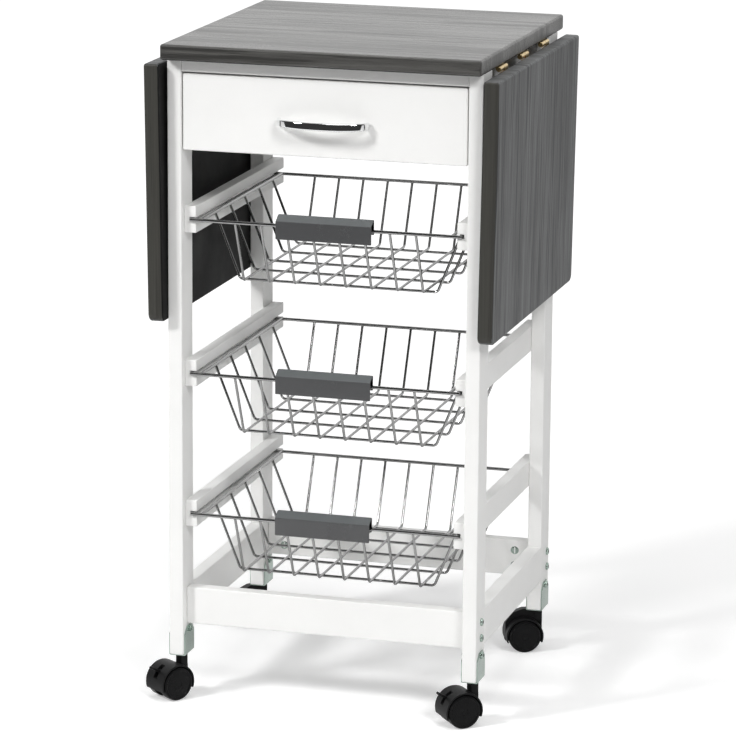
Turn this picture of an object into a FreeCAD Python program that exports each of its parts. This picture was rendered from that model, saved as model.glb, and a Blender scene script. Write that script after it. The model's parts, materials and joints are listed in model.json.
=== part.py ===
import FreeCAD, Part
import math
import os
import re
import Sketcher

# Room service table: a white frame of boards on four swivel casters, with a dark
# wood-grain top, two drop leaves, one drawer and three pull-out wire baskets.
# Millimetres. +X is the table's right, +Y its back, +Z up. The origin is on the
# floor, under the middle of the top board. The leaves hang and all is pushed in.

App = FreeCAD
V = App.Vector

# ---------------------------------------------------------------- driving sizes
SIZES = {
    # whole table and its boards
    "total_height": 775,
    "top_wide": 374,
    "top_deep": 380,
    "top_thick": 18,
    "board_bevel": 2,
    "frame_wide": 370,
    "frame_deep": 341,
    "leg_thick": 17,
    "leg_deep": 38,
    "leg_foot": 54,
    "arris": 1,
    # lower rails, their bolts and barrel nuts
    "rail_tall": 44,
    "rail_thick": 16,
    "rail_foot": 90,
    "front_rail_back": 12.5,
    "rear_rail_back": 2,
    "bolt_gauge": 6,
    "bolt_spread": 19,
    "bolt_head_wide": 9,
    "bolt_head_tall": 2.5,
    "nut_wide": 10,
    "nut_long": 12,
    "nut_inset": 21,
    "bolt_play": 0.3,
    "nut_play": 0.2,
    "cut_over": 1,
    # rails under the top
    "top_rail_tall": 15,
    "apron_tall": 77,
    "apron_thick": 14,
    # drawer
    "drawer_front_tall": 87.5,
    "drawer_front_thick": 16,
    "drawer_gap": 1.5,
    "drawer_head_gap": 2,
    "drawer_inset": 1,
    "drawer_deep": 294,
    "drawer_side_tall": 65,
    "drawer_side_thick": 12,
    "drawer_side_foot": 7.5,
    "drawer_bottom_thick": 4,
    "drawer_bottom_lift": 6,
    "drawer_bottom_seat": 5,
    "panel_play": 0.2,
    "strip_tall": 12,
    "strip_thick": 7.5,
    "strip_lift": 30,
    "strip_play": 0.3,
    "strip_groove_deep": 5,
    "strip_groove_play": 0.9,
    "strip_groove_room": 0.9,
    # bow handle
    "handle_span": 104,
    "handle_out": 24.5,
    "handle_drop": 4.5,
    "handle_foot_long": 3,
    "handle_foot_lean": 2.5,
    "handle_foot_out": 9,
    "handle_shoulder_lean": 12,
    "handle_shoulder_out": 17,
    "handle_curve": 1.3,
    "handle_wide": 9,
    "handle_thick": 5,
    # basket runners
    "runner_thick": 14,
    "runner_tall": 31,
    "runner_long": 330.5,
    "runner_back": 9.5,
    "runner_level_upper": 571,
    "runner_level_middle": 391,
    "runner_level_lower": 224,
    "groove_deep": 8,
    "groove_play": 0.4,
    # wire baskets
    "rim_gauge": 4,
    "wire_gauge": 3.2,
    "weld_gap": 0.05,
    "front_wire_play": 0.3,
    "slide_inset": 4.5,
    "rim_inset": 10.5,
    "basket_deep": 308,
    "basket_drop": 73.3,
    "wall_lean": 33,
    "side_lean": 30,
    "bend_share": 0.07,
    "bend_reach": 5,
    "long_wires": 8,
    "long_pitch": 30.5,
    "cross_wires": 5,
    "cross_pitch": 54,
    "cross_start": 54,
    # moulded basket grips
    "grip_long": 113,
    "grip_wall": 2,
    "grip_roof": 2.4,
    "grip_edge": 1,
    "grip_front": 25,
    "grip_above": 8,
    "grip_slope": 6.5,
    "grip_wide": 13,
    "grip_ahead": 7,
    "grip_tail": 5,
    "grip_play": 0.3,
    "grip_end_drop": 3,
    # drop leaves and their hinges
    "leaf_thick": 18,
    "leaf_tall": 298,
    "leaf_long": 376,
    "leaf_corner": 10,
    "leaf_gap": 1,
    "leaf_rest_gap": 0.3,
    "knuckle_wide": 6,
    "knuckle_seat": 0.2,
    "knuckle_long": 16,
    "knuckle_gap": 0.3,
    "hinge_pin_gauge": 2.4,
    "hinge_pin_play": 0.05,
    "hinge_edge": 0.8,
    "plate_thick": 1.2,
    "plate_reach": 16,
    "plate_drop": 26,
    "hinges": 3,
    "hinge_pitch": 96,
    # casters
    "wheel_wide": 40,
    "wheel_thick": 12,
    "wheel_arris": 1.5,
    "wheel_gap": 0.4,
    "trail": 17,
    "web_thick": 10.6,
    "hood_wall": 1.9,
    "hood_play": 0.9,
    "hood_cover": 34,
    "hood_edge": 12.5,
    "shoulder_level": 38,
    "ridge_long": 24,
    "ridge_slope_long": 12,
    "ridge_slope_drop": 4,
    "ridge_back_drop": 16,
    "stem_block": 11,
    "stem_gauge": 8,
    "stem_play": 0.05,
    "stem_plug": 30,
    "stem_bite": 18.5,
    "swivel_gap": 0.4,
    "axle_gauge": 6,
    "axle_long": 30,
    "axle_play": 0.05,
    # caster brackets and their bolts
    "bracket_sheet": 1.5,
    "bracket_wide": 32,
    "bracket_tall": 33,
    "bracket_corner": 9,
    "bracket_bolt_drop": 4.5,
    "bracket_bolt_gauge": 5,
    "bracket_head_wide": 8.5,
    "bracket_head_tall": 2.6,
    # brake levers of the front casters
    "lever_thick": 6,
    "lever_play": 0.3,
    "lever_hub": 6,
    "lever_back": 13,
    "lever_rise": 13,
    "lever_slot_long": 20,
    "lever_slot_room": 1,
    "pedal_long": 16,
    "pedal_bar": 4.3,
    "pedal_wide": 8.5,
    "pedal_thick": 3,
    "pedal_tilt": 150,
    "trunnion_gauge": 3,
    "trunnion_long": 10,
}

# The heading of each caster as it stands, in degrees, counted from +X to its stem side.
HEADINGS = {
    "front_left": 55,
    "front_right": 39,
    "rear_left": 50,
    "rear_right": 24,
}
SIDES = {"left": -1, "right": 1}
ENDS = {"front": -1, "rear": 1}
LEVELS = ("upper", "middle", "lower")

# Small round things are drawn with flat sides, as many as their size needs.
WIRE_SIDES = 6
HOLE_SIDES = 8
HEAD_SIDES = 12
BORE_SIDES = 16
WHEEL_SIDES = 32

# Heights and distances that several sub-parts share, in the words of the sheet.
TOP_FOOT = "total_height - top_thick"
LEG_TALL = "total_height - top_thick - leg_foot"
INNER_HALF = "frame_wide / 2 - leg_thick"
RUNNER_FACE = "frame_wide / 2 - leg_thick - runner_thick"
APRON_FACE = "frame_wide / 2 - leg_thick - apron_thick"
LEG_X = "(frame_wide - leg_thick) / 2"
LEG_Y = "(frame_deep - leg_deep) / 2"
FRONT = "-frame_deep / 2"
BOLT_LEVEL = "rail_foot + rail_tall / 2"
AXIS_LEVEL = "total_height - top_thick - knuckle_wide / 2 - knuckle_seat"
AXIS_HALF = "top_wide / 2 - hinge_edge"
HINGE_OFFSET = "knuckle_wide / 2 + knuckle_seat"
LEAF_EDGE = "hinge_edge + leaf_gap"
APRON_LONG = "frame_deep - drawer_inset - 2 * rail_thick - rear_rail_back"
SOCKET_DEEP = "stem_plug - bracket_bolt_gauge"
RAIL_MIDDLES = (
    "front_rail_back + rail_thick / 2 - frame_deep / 2",
    "frame_deep / 2 - rear_rail_back - rail_thick / 2",
)
DRAWER_HALF = "frame_wide / 2 - leg_thick - drawer_gap"
DRAWER_FOOT = "total_height - top_thick - top_rail_tall - drawer_head_gap - drawer_front_tall"
DRAWER_BACK_FACE = FRONT + " + drawer_inset + drawer_front_thick"
SIDE_INNER = APRON_FACE + " - strip_thick + strip_groove_deep - strip_groove_play - drawer_side_thick"
SIDE_FOOT = DRAWER_FOOT + " + drawer_side_foot"
SLIDE_HALF = RUNNER_FACE + " + slide_inset"
RIM_HALF = SLIDE_HALF + " - rim_inset"
BASKET_FRONT = FRONT + " + runner_back - rim_gauge / 2 - front_wire_play"
AXLE_CORNERS = "axle_gauge + 2 * axle_play"

doc = App.newDocument("room_service_table")
sheet = doc.addObject("Spreadsheet::Sheet", "Sizes")
for row, (alias, number) in enumerate(SIZES.items(), 1):
    sheet.set("A%d" % row, alias)
    sheet.set("B%d" % row, str(number))
    sheet.setAlias("B%d" % row, alias)
doc.recompute()


# ---------------------------------------------------------------- small helpers
def formula(words):
    """Turn an expression in the sheet's aliases into one that names the sheet."""
    return re.sub(r"[a-z][a-z_]+", lambda m: "Sizes." + m.group() if m.group() in SIZES else m.group(), words)


def bind(thing, **sizes):
    """Bind properties of a document object to expressions in the sheet's aliases."""
    for name, words in sizes.items():
        thing.setExpression(name, formula(words))


def place(thing, x="0", y="0", z="0", turn=None):
    """Put an object at a spot given by expressions, with an optional fixed rotation."""
    if turn is not None:
        thing.Placement = App.Placement(V(), turn)
    for axis, words in (("x", x), ("y", y), ("z", z)):
        thing.setExpression("Placement.Base." + axis, formula(words))


def add_body(label, x="0", y="0", z="0", turn=None):
    """Start a sub-part: a PartDesign body with its own label and placement."""
    body = doc.addObject("PartDesign::Body", label)
    body.Label = label
    body.AllowCompound = True
    place(body, x, y, z, turn)
    return body


def origin_of(body, role):
    """Find an origin plane or axis of a body by its role."""
    return next(feature for feature in body.Origin.OriginFeatures if feature.Role == role)


def add_sketch(body, role, lift="0"):
    """Start a sketch on one of the body's origin planes, lifted along its normal."""
    sketch = body.newObject("Sketcher::SketchObject", body.Label + "_sketch")
    sketch.AttachmentSupport = (origin_of(body, role), "")
    sketch.MapMode = "FlatFace"
    sketch.setExpression("AttachmentOffset.Base.z", formula(lift))
    return sketch


def pin_point(sketch, geometry, point, x, y):
    """Hold a sketch point at x, y from the sketch's origin."""
    for kind, words in (("DistanceX", x), ("DistanceY", y)):
        index = sketch.addConstraint(Sketcher.Constraint(kind, -1, 1, geometry, point, 1.0))
        sketch.setExpression("Constraints[%d]" % index, formula(words))


def outline(sketch, corners, closed=True):
    """Draw straight lines through the corners, each corner held by expressions."""
    count = len(corners)
    lines = count if closed else count - 1
    angle = 2 * math.pi / count
    spots = [V(9 * math.cos(angle * i), 9 * math.sin(angle * i), 0) for i in range(count)]
    for i in range(lines):
        sketch.addGeometry(Part.LineSegment(spots[i], spots[(i + 1) % count]))
    for i in range(lines if closed else lines - 1):
        sketch.addConstraint(Sketcher.Constraint("Coincident", i, 2, (i + 1) % lines, 1))
    for i, (x, y) in enumerate(corners):
        if i < lines:
            pin_point(sketch, i, 1, x, y)
        else:
            pin_point(sketch, i - 1, 2, x, y)


def pad(body, sketch, length, both_ways=False, backwards=False):
    """Pad a sketch along its normal."""
    feature = body.newObject("PartDesign::Pad", body.Label + "_pad")
    feature.Profile = sketch
    feature.Midplane = both_ways
    feature.Reversed = backwards
    bind(feature, Length=length)
    body.Tip = feature
    return feature


TURNS = {
    "x": App.Rotation(V(0, 1, 0), 90),
    "y": App.Rotation(V(1, 0, 0), -90),
    "z": App.Rotation(),
}


def rod(body, along, gauge, length, x="0", y="0", z="0", cut=False, sides=0):
    """Add or cut a bar that starts at x, y, z and runs along an axis.

    With sides it is a prism. The gauge is across the corners of a bar and across the
    flats of a hole, so that a bar always clears its hole.
    """
    kind = "PartDesign::%s%s" % ("Subtractive" if cut else "Additive", "Prism" if sides else "Cylinder")
    feature = body.newObject(kind, body.Label + ("_hole" if cut else "_rod"))
    if sides:
        feature.Polygon = sides
        flats = " / cos(180 / %d)" % sides if cut else ""
        bind(feature, Circumradius="(%s) / 2%s" % (gauge, flats), Height=length)
        place(feature, x, y, z, TURNS[along].multiply(App.Rotation(V(0, 0, 1), 180 / sides)))
    else:
        bind(feature, Radius="(%s) / 2" % gauge, Height=length)
        place(feature, x, y, z, TURNS[along])
    body.Tip = feature
    return feature


def block(body, wide, deep, tall, x="0", y="0", z="0", cut=False):
    """Add or cut a box whose least corner is at x, y, z."""
    kind = "PartDesign::SubtractiveBox" if cut else "PartDesign::AdditiveBox"
    feature = body.newObject(kind, body.Label + ("_cut" if cut else "_block"))
    bind(feature, Length=wide, Width=deep, Height=tall)
    place(feature, x, y, z)
    body.Tip = feature
    return feature


def least(sign, near, length):
    """Where a stretch that starts at a distance from the middle has its lower end."""
    return near if sign > 0 else "-(%s) - (%s)" % (near, length)


def in_a_row(body, feature, role, pitch, count):
    """Repeat a sketched feature in a row along an origin axis."""
    row = body.newObject("PartDesign::LinearPattern", body.Label + "_row")
    row.Originals = [feature]
    row.Direction = (origin_of(body, role), [""])
    bind(row, Length="%s * (%s - 1)" % (pitch, count), Occurrences=count)
    body.Tip = row


def edges_where(feature, test):
    """Name the straight edges of a feature that pass a test on their two ends."""
    doc.recompute()
    names = []
    for index, edge in enumerate(feature.Shape.Edges, 1):
        first, last = edge.Vertexes[0].Point, edge.Vertexes[-1].Point
        if test(first, last):
            names.append("Edge%d" % index)
    return names


def soften(body, kind, names, size):
    """Fillet or chamfer named edges of the body's tip."""
    base = body.Tip
    feature = body.newObject("PartDesign::" + kind, body.Label + "_" + kind.lower())
    feature.Base = (base, names)
    bind(feature, **{"Radius" if kind == "Fillet" else "Size": size})
    body.Tip = feature
    return feature


def runs_along(axis):
    """A test for edges that run along one axis."""
    def test(first, last):
        step = last - first
        return abs(abs(step[axis]) - step.Length) < 1e-6
    return test


# ---------------------------------------------------------------- top and frame
def make_top_board():
    """The fixed worktop, with every edge eased."""
    body = add_body("top_board", "-top_wide / 2", "-top_deep / 2", TOP_FOOT)
    block(body, "top_wide", "top_deep", "top_thick")
    soften(body, "Chamfer", edges_where(body.Tip, lambda first, last: True), "board_bevel")


def make_leg(end, side):
    """A leg board with bolt holes at rail height and a socket for the caster's stem."""
    body = add_body(
        "leg_%s_%s" % (end, side),
        "%d * (%s) - leg_thick / 2" % (SIDES[side], LEG_X),
        "%d * (%s) - leg_deep / 2" % (ENDS[end], LEG_Y),
        "leg_foot",
    )
    block(body, "leg_thick", "leg_deep", LEG_TALL)
    soften(body, "Chamfer", edges_where(body.Tip, runs_along(2)), "arris")
    if end == "front":
        rail_middle = "front_rail_back + rail_thick / 2"
    else:
        rail_middle = "leg_deep - rear_rail_back - rail_thick / 2"
    for shift in ("-", "+"):
        level = "%s %s bolt_spread / 2 - leg_foot" % (BOLT_LEVEL, shift)
        rod(body, "x", "bolt_gauge + 2 * bolt_play", "leg_thick", "0", rail_middle, level, True, HOLE_SIDES)
    bolt_level = "bracket_tall - bracket_bolt_drop"
    rod(body, "x", "bracket_bolt_gauge + 2 * bolt_play", "leg_thick", "0", "leg_deep / 2", bolt_level, True, HOLE_SIDES)
    plug = "stem_gauge + 2 * stem_play"
    rod(body, "z", plug, SOCKET_DEEP, "leg_thick / 2", "leg_deep / 2", "0", True, BORE_SIDES)


def make_side_rail(side):
    """A lower side rail, flush with the legs and butted between them."""
    body = add_body(
        "lower_rail_%s" % side,
        "%d * (%s) - leg_thick / 2" % (SIDES[side], LEG_X),
        "leg_deep - frame_deep / 2",
        "rail_foot",
    )
    block(body, "leg_thick", "frame_deep - 2 * leg_deep", "rail_tall")
    soften(body, "Chamfer", edges_where(body.Tip, runs_along(1)), "arris")


def make_cross_rail(end):
    """A lower cross rail between two legs, drilled for its bolts and barrel nuts."""
    if end == "front":
        y = "front_rail_back - frame_deep / 2"
        nut_face = "rail_thick - nut_long"
    else:
        y = "frame_deep / 2 - rear_rail_back - rail_thick"
        nut_face = "0"
    body = add_body("lower_rail_%s" % end, "-(%s)" % INNER_HALF, y, "rail_foot")
    block(body, "frame_wide - 2 * leg_thick", "rail_thick", "rail_tall")
    soften(body, "Chamfer", edges_where(body.Tip, runs_along(0)), "arris")
    far = "frame_wide - 2 * leg_thick - nut_inset"
    for shift in ("-", "+"):
        level = "rail_tall / 2 %s bolt_spread / 2" % shift
        for start in ("0", far):
            rod(body, "x", "bolt_gauge + 2 * bolt_play", "nut_inset", start, "rail_thick / 2", level, True, HOLE_SIDES)
        for middle in ("nut_inset", far):
            rod(body, "y", "nut_wide + 2 * nut_play", "nut_long", middle, nut_face, level, True, HEAD_SIDES)


def make_top_rails():
    """The front rail over the drawer, the rear apron and the two side aprons."""
    front = add_body("top_rail_front", "-(%s)" % INNER_HALF, FRONT + " + drawer_inset",
                     TOP_FOOT + " - top_rail_tall")
    block(front, "frame_wide - 2 * leg_thick", "rail_thick", "top_rail_tall")
    rear = add_body("apron_rear", "-(%s)" % INNER_HALF, "frame_deep / 2 - rear_rail_back - rail_thick",
                    TOP_FOOT + " - apron_tall")
    block(rear, "frame_wide - 2 * leg_thick", "rail_thick", "apron_tall")
    for side, sign in SIDES.items():
        x = least(sign, APRON_FACE, "apron_thick")
        apron = add_body("apron_%s" % side, x, FRONT + " + drawer_inset + rail_thick", TOP_FOOT + " - apron_tall")
        block(apron, "apron_thick", APRON_LONG, "apron_tall")


def make_drawer_strip(side):
    """The strip on a side apron that the drawer's groove runs on."""
    x = least(SIDES[side], APRON_FACE + " - strip_thick", "strip_thick")
    body = add_body("drawer_runner_%s" % side, x, FRONT + " + drawer_inset + rail_thick",
                    SIDE_FOOT + " + strip_lift")
    block(body, "strip_thick", APRON_LONG, "strip_tall")


def make_basket_runner(level, side):
    """A basket runner with its slide groove, screwed to the inside of two legs."""
    sign = SIDES[side]
    body = add_body("runner_%s_%s" % (level, side), least(sign, RUNNER_FACE, "runner_thick"),
                    FRONT + " + runner_back", "runner_level_%s - runner_tall / 2" % level)
    block(body, "runner_thick", "runner_long", "runner_tall")
    soften(body, "Chamfer", edges_where(body.Tip, runs_along(1)), "arris")
    groove_tall = "rim_gauge + 2 * groove_play"
    groove_x = "0" if sign > 0 else "runner_thick - groove_deep"
    block(body, "groove_deep", "runner_long", groove_tall,
          groove_x, "0", "(runner_tall - rim_gauge) / 2 - groove_play", cut=True)


# ---------------------------------------------------------------- frame hardware
def make_rail_bolts():
    """The bolts through the legs into the cross rails, two at each end of a rail."""
    body = add_body("rail_bolts")
    shank = "leg_thick + nut_inset - nut_wide / 2 - nut_play"
    inner = "frame_wide / 2 - (%s)" % shank
    for middle in RAIL_MIDDLES:
        for shift in ("-", "+"):
            level = "%s %s bolt_spread / 2" % (BOLT_LEVEL, shift)
            for sign in SIDES.values():
                x = least(sign, inner, shank)
                head = least(sign, "frame_wide / 2", "bolt_head_tall")
                rod(body, "x", "bolt_gauge", shank, x, middle, level, sides=HOLE_SIDES)
                rod(body, "x", "bolt_head_wide", "bolt_head_tall", head, middle, level, sides=HEAD_SIDES)


def make_barrel_nuts():
    """The barrel nuts in the cross rails, flush with the rails' inner faces."""
    body = add_body("barrel_nuts")
    faces = ("front_rail_back + rail_thick - nut_long - frame_deep / 2",
             "frame_deep / 2 - rear_rail_back - rail_thick")
    for face in faces:
        for shift in ("-", "+"):
            level = "%s %s bolt_spread / 2" % (BOLT_LEVEL, shift)
            for sign in SIDES.values():
                x = "%d * (%s - nut_inset)" % (sign, INNER_HALF)
                rod(body, "y", "nut_wide", "nut_long", x, face, level, sides=HEAD_SIDES)


def corners_of_frame():
    """The signs of x and y at the four legs."""
    return [(x_sign, y_sign) for x_sign in SIDES.values() for y_sign in ENDS.values()]


def make_brackets():
    """The bent steel brackets that clasp the legs' feet and carry the stems."""
    body = add_body("caster_brackets")
    outer = "leg_thick + 2 * bracket_sheet"
    foot = "leg_foot - bracket_sheet"
    for x_sign, y_sign in corners_of_frame():
        x, y = "%d * (%s)" % (x_sign, LEG_X), "%d * (%s)" % (y_sign, LEG_Y)
        left, near = "%s - (%s) / 2" % (x, outer), "%s - bracket_wide / 2" % y
        level = "leg_foot + bracket_tall - bracket_bolt_drop"
        block(body, outer, "bracket_wide", "bracket_tall + bracket_sheet", left, near, foot)
        block(body, "leg_thick", "bracket_wide", "bracket_tall + cut_over", x + " - leg_thick / 2", near,
              "leg_foot", cut=True)
        rod(body, "z", "stem_gauge + 2 * stem_play", "bracket_sheet", x, y, foot, True, BORE_SIDES)
        rod(body, "x", "bracket_bolt_gauge + 2 * bolt_play", outer, left, y, level, True, HOLE_SIDES)
    top = SIZES["leg_foot"] + SIZES["bracket_tall"] - 1e-6
    soften(body, "Chamfer", edges_where(body.Tip, lambda a, b: runs_along(0)(a, b) and a.z > top), "bracket_corner")


def make_bracket_bolts():
    """One bolt through each bracket and leg, with a nut on the inner side."""
    body = add_body("bracket_bolts")
    level = "leg_foot + bracket_tall - bracket_bolt_drop"
    outer = "frame_wide / 2 + bracket_sheet"
    inner = "frame_wide / 2 - leg_thick - bracket_sheet"
    grip = "leg_thick + 2 * bracket_sheet"
    for x_sign, y_sign in corners_of_frame():
        y = "%d * (%s)" % (y_sign, LEG_Y)
        rod(body, "x", "bracket_bolt_gauge", grip, least(x_sign, inner, grip), y, level, sides=HOLE_SIDES)
        for near in (outer, inner + " - bracket_head_tall"):
            x = least(x_sign, near, "bracket_head_tall")
            rod(body, "x", "bracket_head_wide", "bracket_head_tall", x, y, level, sides=HEAD_SIDES)


def make_stems():
    """The steel stems, fixed in the legs, on which the caster hoods swivel."""
    body = add_body("caster_stems")
    foot = "leg_foot - bracket_sheet - swivel_gap - stem_bite"
    length = "stem_bite + swivel_gap + bracket_sheet + %s - cut_over" % SOCKET_DEEP
    for x_sign, y_sign in corners_of_frame():
        rod(body, "z", "stem_gauge", length, "%d * (%s)" % (x_sign, LEG_X), "%d * (%s)" % (y_sign, LEG_Y), foot)


# ---------------------------------------------------------------- drawer
def make_drawer():
    """The drawer: front, two grooved sides, back and a bottom let into grooves."""
    front = add_body("drawer_front", "-(%s)" % DRAWER_HALF, FRONT + " + drawer_inset", DRAWER_FOOT)
    block(front, "2 * (%s)" % DRAWER_HALF, "drawer_front_thick", "drawer_front_tall")
    soften(front, "Chamfer", edges_where(front.Tip, lambda a, b: a.y < 1e-6 and b.y < 1e-6), "arris")
    slot = "drawer_bottom_thick + 2 * panel_play"
    slot_level = "drawer_bottom_lift - panel_play"
    slot_half = SIDE_INNER + " + drawer_bottom_seat"
    block(front, "2 * (%s)" % slot_half, "drawer_bottom_seat", slot, "%s - (%s)" % (DRAWER_HALF, slot_half),
          "drawer_front_thick - drawer_bottom_seat", "drawer_side_foot + " + slot_level, cut=True)
    for side, sign in SIDES.items():
        body = add_body("drawer_side_%s" % side, least(sign, SIDE_INNER, "drawer_side_thick"), DRAWER_BACK_FACE,
                        SIDE_FOOT)
        block(body, "drawer_side_thick", "drawer_deep", "drawer_side_tall")
        run_x = "drawer_side_thick - strip_groove_deep" if sign > 0 else "0"
        block(body, "strip_groove_deep", "drawer_deep", "strip_tall + strip_play + strip_groove_room", run_x, "0",
              "strip_lift - strip_groove_room", cut=True)
        seat_x = "0" if sign > 0 else "drawer_side_thick - drawer_bottom_seat"
        block(body, "drawer_bottom_seat", "drawer_deep", slot, seat_x, "0", slot_level, cut=True)
    back_lift = "drawer_bottom_lift + drawer_bottom_thick + panel_play"
    back = add_body("drawer_back", "-(%s)" % SIDE_INNER,
                    DRAWER_BACK_FACE + " + drawer_deep - drawer_side_thick", SIDE_FOOT + " + " + back_lift)
    block(back, "2 * (%s)" % SIDE_INNER, "drawer_side_thick", "drawer_side_tall - (%s)" % back_lift)
    seat = "drawer_bottom_seat - panel_play"
    bottom = add_body("drawer_bottom", "-(%s) - (%s)" % (SIDE_INNER, seat), DRAWER_BACK_FACE + " - (%s)" % seat,
                      SIDE_FOOT + " + drawer_bottom_lift")
    block(bottom, "2 * (%s) + 2 * (%s)" % (SIDE_INNER, seat), "drawer_deep + (%s)" % seat, "drawer_bottom_thick")


def make_handle():
    """The bow handle: a flat bar swept along an arch that springs from the drawer's front."""
    level = DRAWER_FOOT + " + drawer_front_tall / 2 - handle_drop"
    body = add_body("drawer_handle", "0", FRONT + " + drawer_inset", level)
    path = add_sketch(body, "XY_Plane")
    half = "handle_span / 2"
    right_half = [
        ("%s / 2 - handle_foot_lean" % half, "-handle_out + handle_curve"),
        (half + " - handle_shoulder_lean", "-handle_shoulder_out"),
        (half + " - handle_foot_lean", "-handle_foot_out"),
        (half, "-handle_foot_long"),
        (half, "0"),
    ]
    left_half = [("-(%s)" % x, y) for x, y in reversed(right_half)]
    outline(path, left_half + [("0", "-handle_out")] + right_half, closed=False)
    doc.recompute()
    section = add_sketch(body, "XZ_Plane")
    wide, thick, corner = "handle_wide / 2", "handle_thick / 2", "handle_thick / 4"
    quarter = [("%s - %s" % (thick, corner), wide), (thick, "%s - %s" % (wide, corner))]
    ring = []
    for x_sign, z_sign in ((1, 1), (1, -1), (-1, -1), (-1, 1)):
        pair = quarter if x_sign == z_sign else quarter[::-1]
        ring += [("%d * (%s) - %s" % (x_sign, x, half), "%d * (%s)" % (z_sign, z)) for x, z in pair]
    outline(section, ring)
    pipe = body.newObject("PartDesign::AdditivePipe", "handle_pipe")
    pipe.Profile = section
    pipe.Spine = (path, "")
    pipe.Transition = "Right corner"
    body.Tip = pipe


# ---------------------------------------------------------------- baskets
def polygon(sketch, sides, gauge):
    """Draw a regular polygon about the sketch's origin, flat on top, given across its flats."""
    corners = []
    for i in range(sides):
        angle = (i + 0.5) * 360 / sides + 90
        reach = "%s / 2 / cos(180 / %d)" % (gauge, sides)
        corners.append(("%s * cos(%g)" % (reach, angle), "%s * sin(%g)" % (reach, angle)))
    outline(sketch, corners)


def bent_wire(body, role, lift, half_rim, half_floor, start_drop, floor_drop, middle):
    """One U-shaped basket wire: two leaning walls, a floor and eased bends."""
    path = add_sketch(body, role, lift)
    wall = "(%s - (%s))" % (floor_drop, start_drop)
    lean = "(%s - (%s))" % (half_rim, half_floor)
    knee_out = "(%s) + bend_share * %s" % (half_floor, lean)
    knee_drop = "-(%s) + bend_share * %s" % (floor_drop, wall)
    near, far = "%s - (%%s)" % middle, "%s + (%%s)" % middle
    floor_in = "(%s) - bend_reach" % half_floor
    outline(path, [
        (near % half_rim, "-(%s)" % start_drop),
        (near % knee_out, knee_drop),
        (near % floor_in, "-(%s)" % floor_drop),
        (far % floor_in, "-(%s)" % floor_drop),
        (far % knee_out, knee_drop),
        (far % half_rim, "-(%s)" % start_drop),
    ], closed=False)
    doc.recompute()
    section = body.newObject("Sketcher::SketchObject", body.Label + "_section")
    section.AttachmentSupport = (path, "Edge1")
    section.MapMode = "NormalToEdge"
    polygon(section, WIRE_SIDES, "wire_gauge")
    pipe = body.newObject("PartDesign::AdditivePipe", body.Label + "_wire")
    pipe.Profile = section
    pipe.Spine = (path, "")
    pipe.Transition = "Right corner"
    body.Tip = pipe
    return pipe


def make_basket(level):
    """A wire basket: rim wires, and bent wires crossing under each other, welded."""
    body = add_body("basket_%s" % level, "0", BASKET_FRONT, "runner_level_%s" % level)
    tip_half = SLIDE_HALF + " + rim_gauge / 2"
    for y in ("0", "basket_deep"):
        rod(body, "x", "rim_gauge", "2 * (%s)" % tip_half, "-(%s)" % tip_half, y, sides=HOLE_SIDES)
    start = "rim_gauge / 2 + weld_gap"
    length = "basket_deep - 2 * (%s)" % start
    for half in (SLIDE_HALF, RIM_HALF):
        for sign in SIDES.values():
            rod(body, "y", "rim_gauge", length, "%d * (%s)" % (sign, half), start, sides=HOLE_SIDES)
    end_drop = "rim_gauge / 2 + weld_gap + wire_gauge / 4"
    lengthwise = bent_wire(body, "YZ_Plane", "-long_pitch * (long_wires - 1) / 2", "basket_deep / 2",
                           "basket_deep / 2 - wall_lean", end_drop, "basket_drop", "basket_deep / 2")
    in_a_row(body, lengthwise, "X_Axis", "long_pitch", "long_wires")
    crosswise = bent_wire(body, "XZ_Plane", "-cross_start", RIM_HALF, RIM_HALF + " - side_lean", end_drop,
                          "basket_drop + wire_gauge + weld_gap", "0")
    in_a_row(body, crosswise, "Y_Axis", "cross_pitch", "cross_wires")


def make_grip(level):
    """A moulded channel grip, open below, with notched end walls that sit on the front wire."""
    body = add_body("grip_%s" % level, "0", BASKET_FRONT, "runner_level_%s" % level)
    section = add_sketch(body, "YZ_Plane")
    face, tail = "-grip_ahead", "grip_wide - grip_ahead"
    crest = "grip_above + grip_slope"
    outline(section, [
        (face, "grip_above - grip_front"),
        (face + " + grip_wall", "grip_above - grip_front"),
        (face + " + grip_wall", "grip_above - grip_wall"),
        (tail + " - grip_wall", crest + " - grip_roof"),
        (tail + " - grip_wall", "-grip_tail"),
        (tail, "-grip_tail"),
        (tail, crest + " - grip_edge"),
        (tail + " - grip_edge", crest),
        (face + " + grip_edge", "grip_above"),
        (face, "grip_above - grip_edge"),
    ])
    pad(body, section, "grip_long", both_ways=True)
    notch = "rim_gauge / 2 + grip_play"
    for sign in SIDES.values():
        x = least(sign, "grip_long / 2 - grip_wall", "grip_wall")
        block(body, "grip_wall", "grip_wide - 2 * grip_edge", "grip_above + grip_end_drop - grip_edge", x,
              face + " + grip_edge", "-grip_end_drop")
        block(body, "grip_wall", "2 * (%s)" % notch, "grip_end_drop + %s" % notch, x, "-(%s)" % notch,
              "-grip_end_drop", cut=True)


# ---------------------------------------------------------------- drop leaves
axis_to_leg = SIZES["top_wide"] / 2 - SIZES["hinge_edge"] - SIZES["frame_wide"] / 2
leaf_room = axis_to_leg + SIZES["knuckle_wide"] / 2 + SIZES["knuckle_seat"] - SIZES["leaf_rest_gap"]
LEAF_TILT = math.degrees(math.asin(leaf_room / SIZES["leaf_tall"]))


def leaf_turn(side):
    """The rotation of a hanging leaf: it leans in until it rests near the legs."""
    facing = App.Rotation(V(0, 0, 1), 0 if SIDES[side] > 0 else 180)
    return facing.multiply(App.Rotation(V(0, 1, 0), LEAF_TILT))


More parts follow.
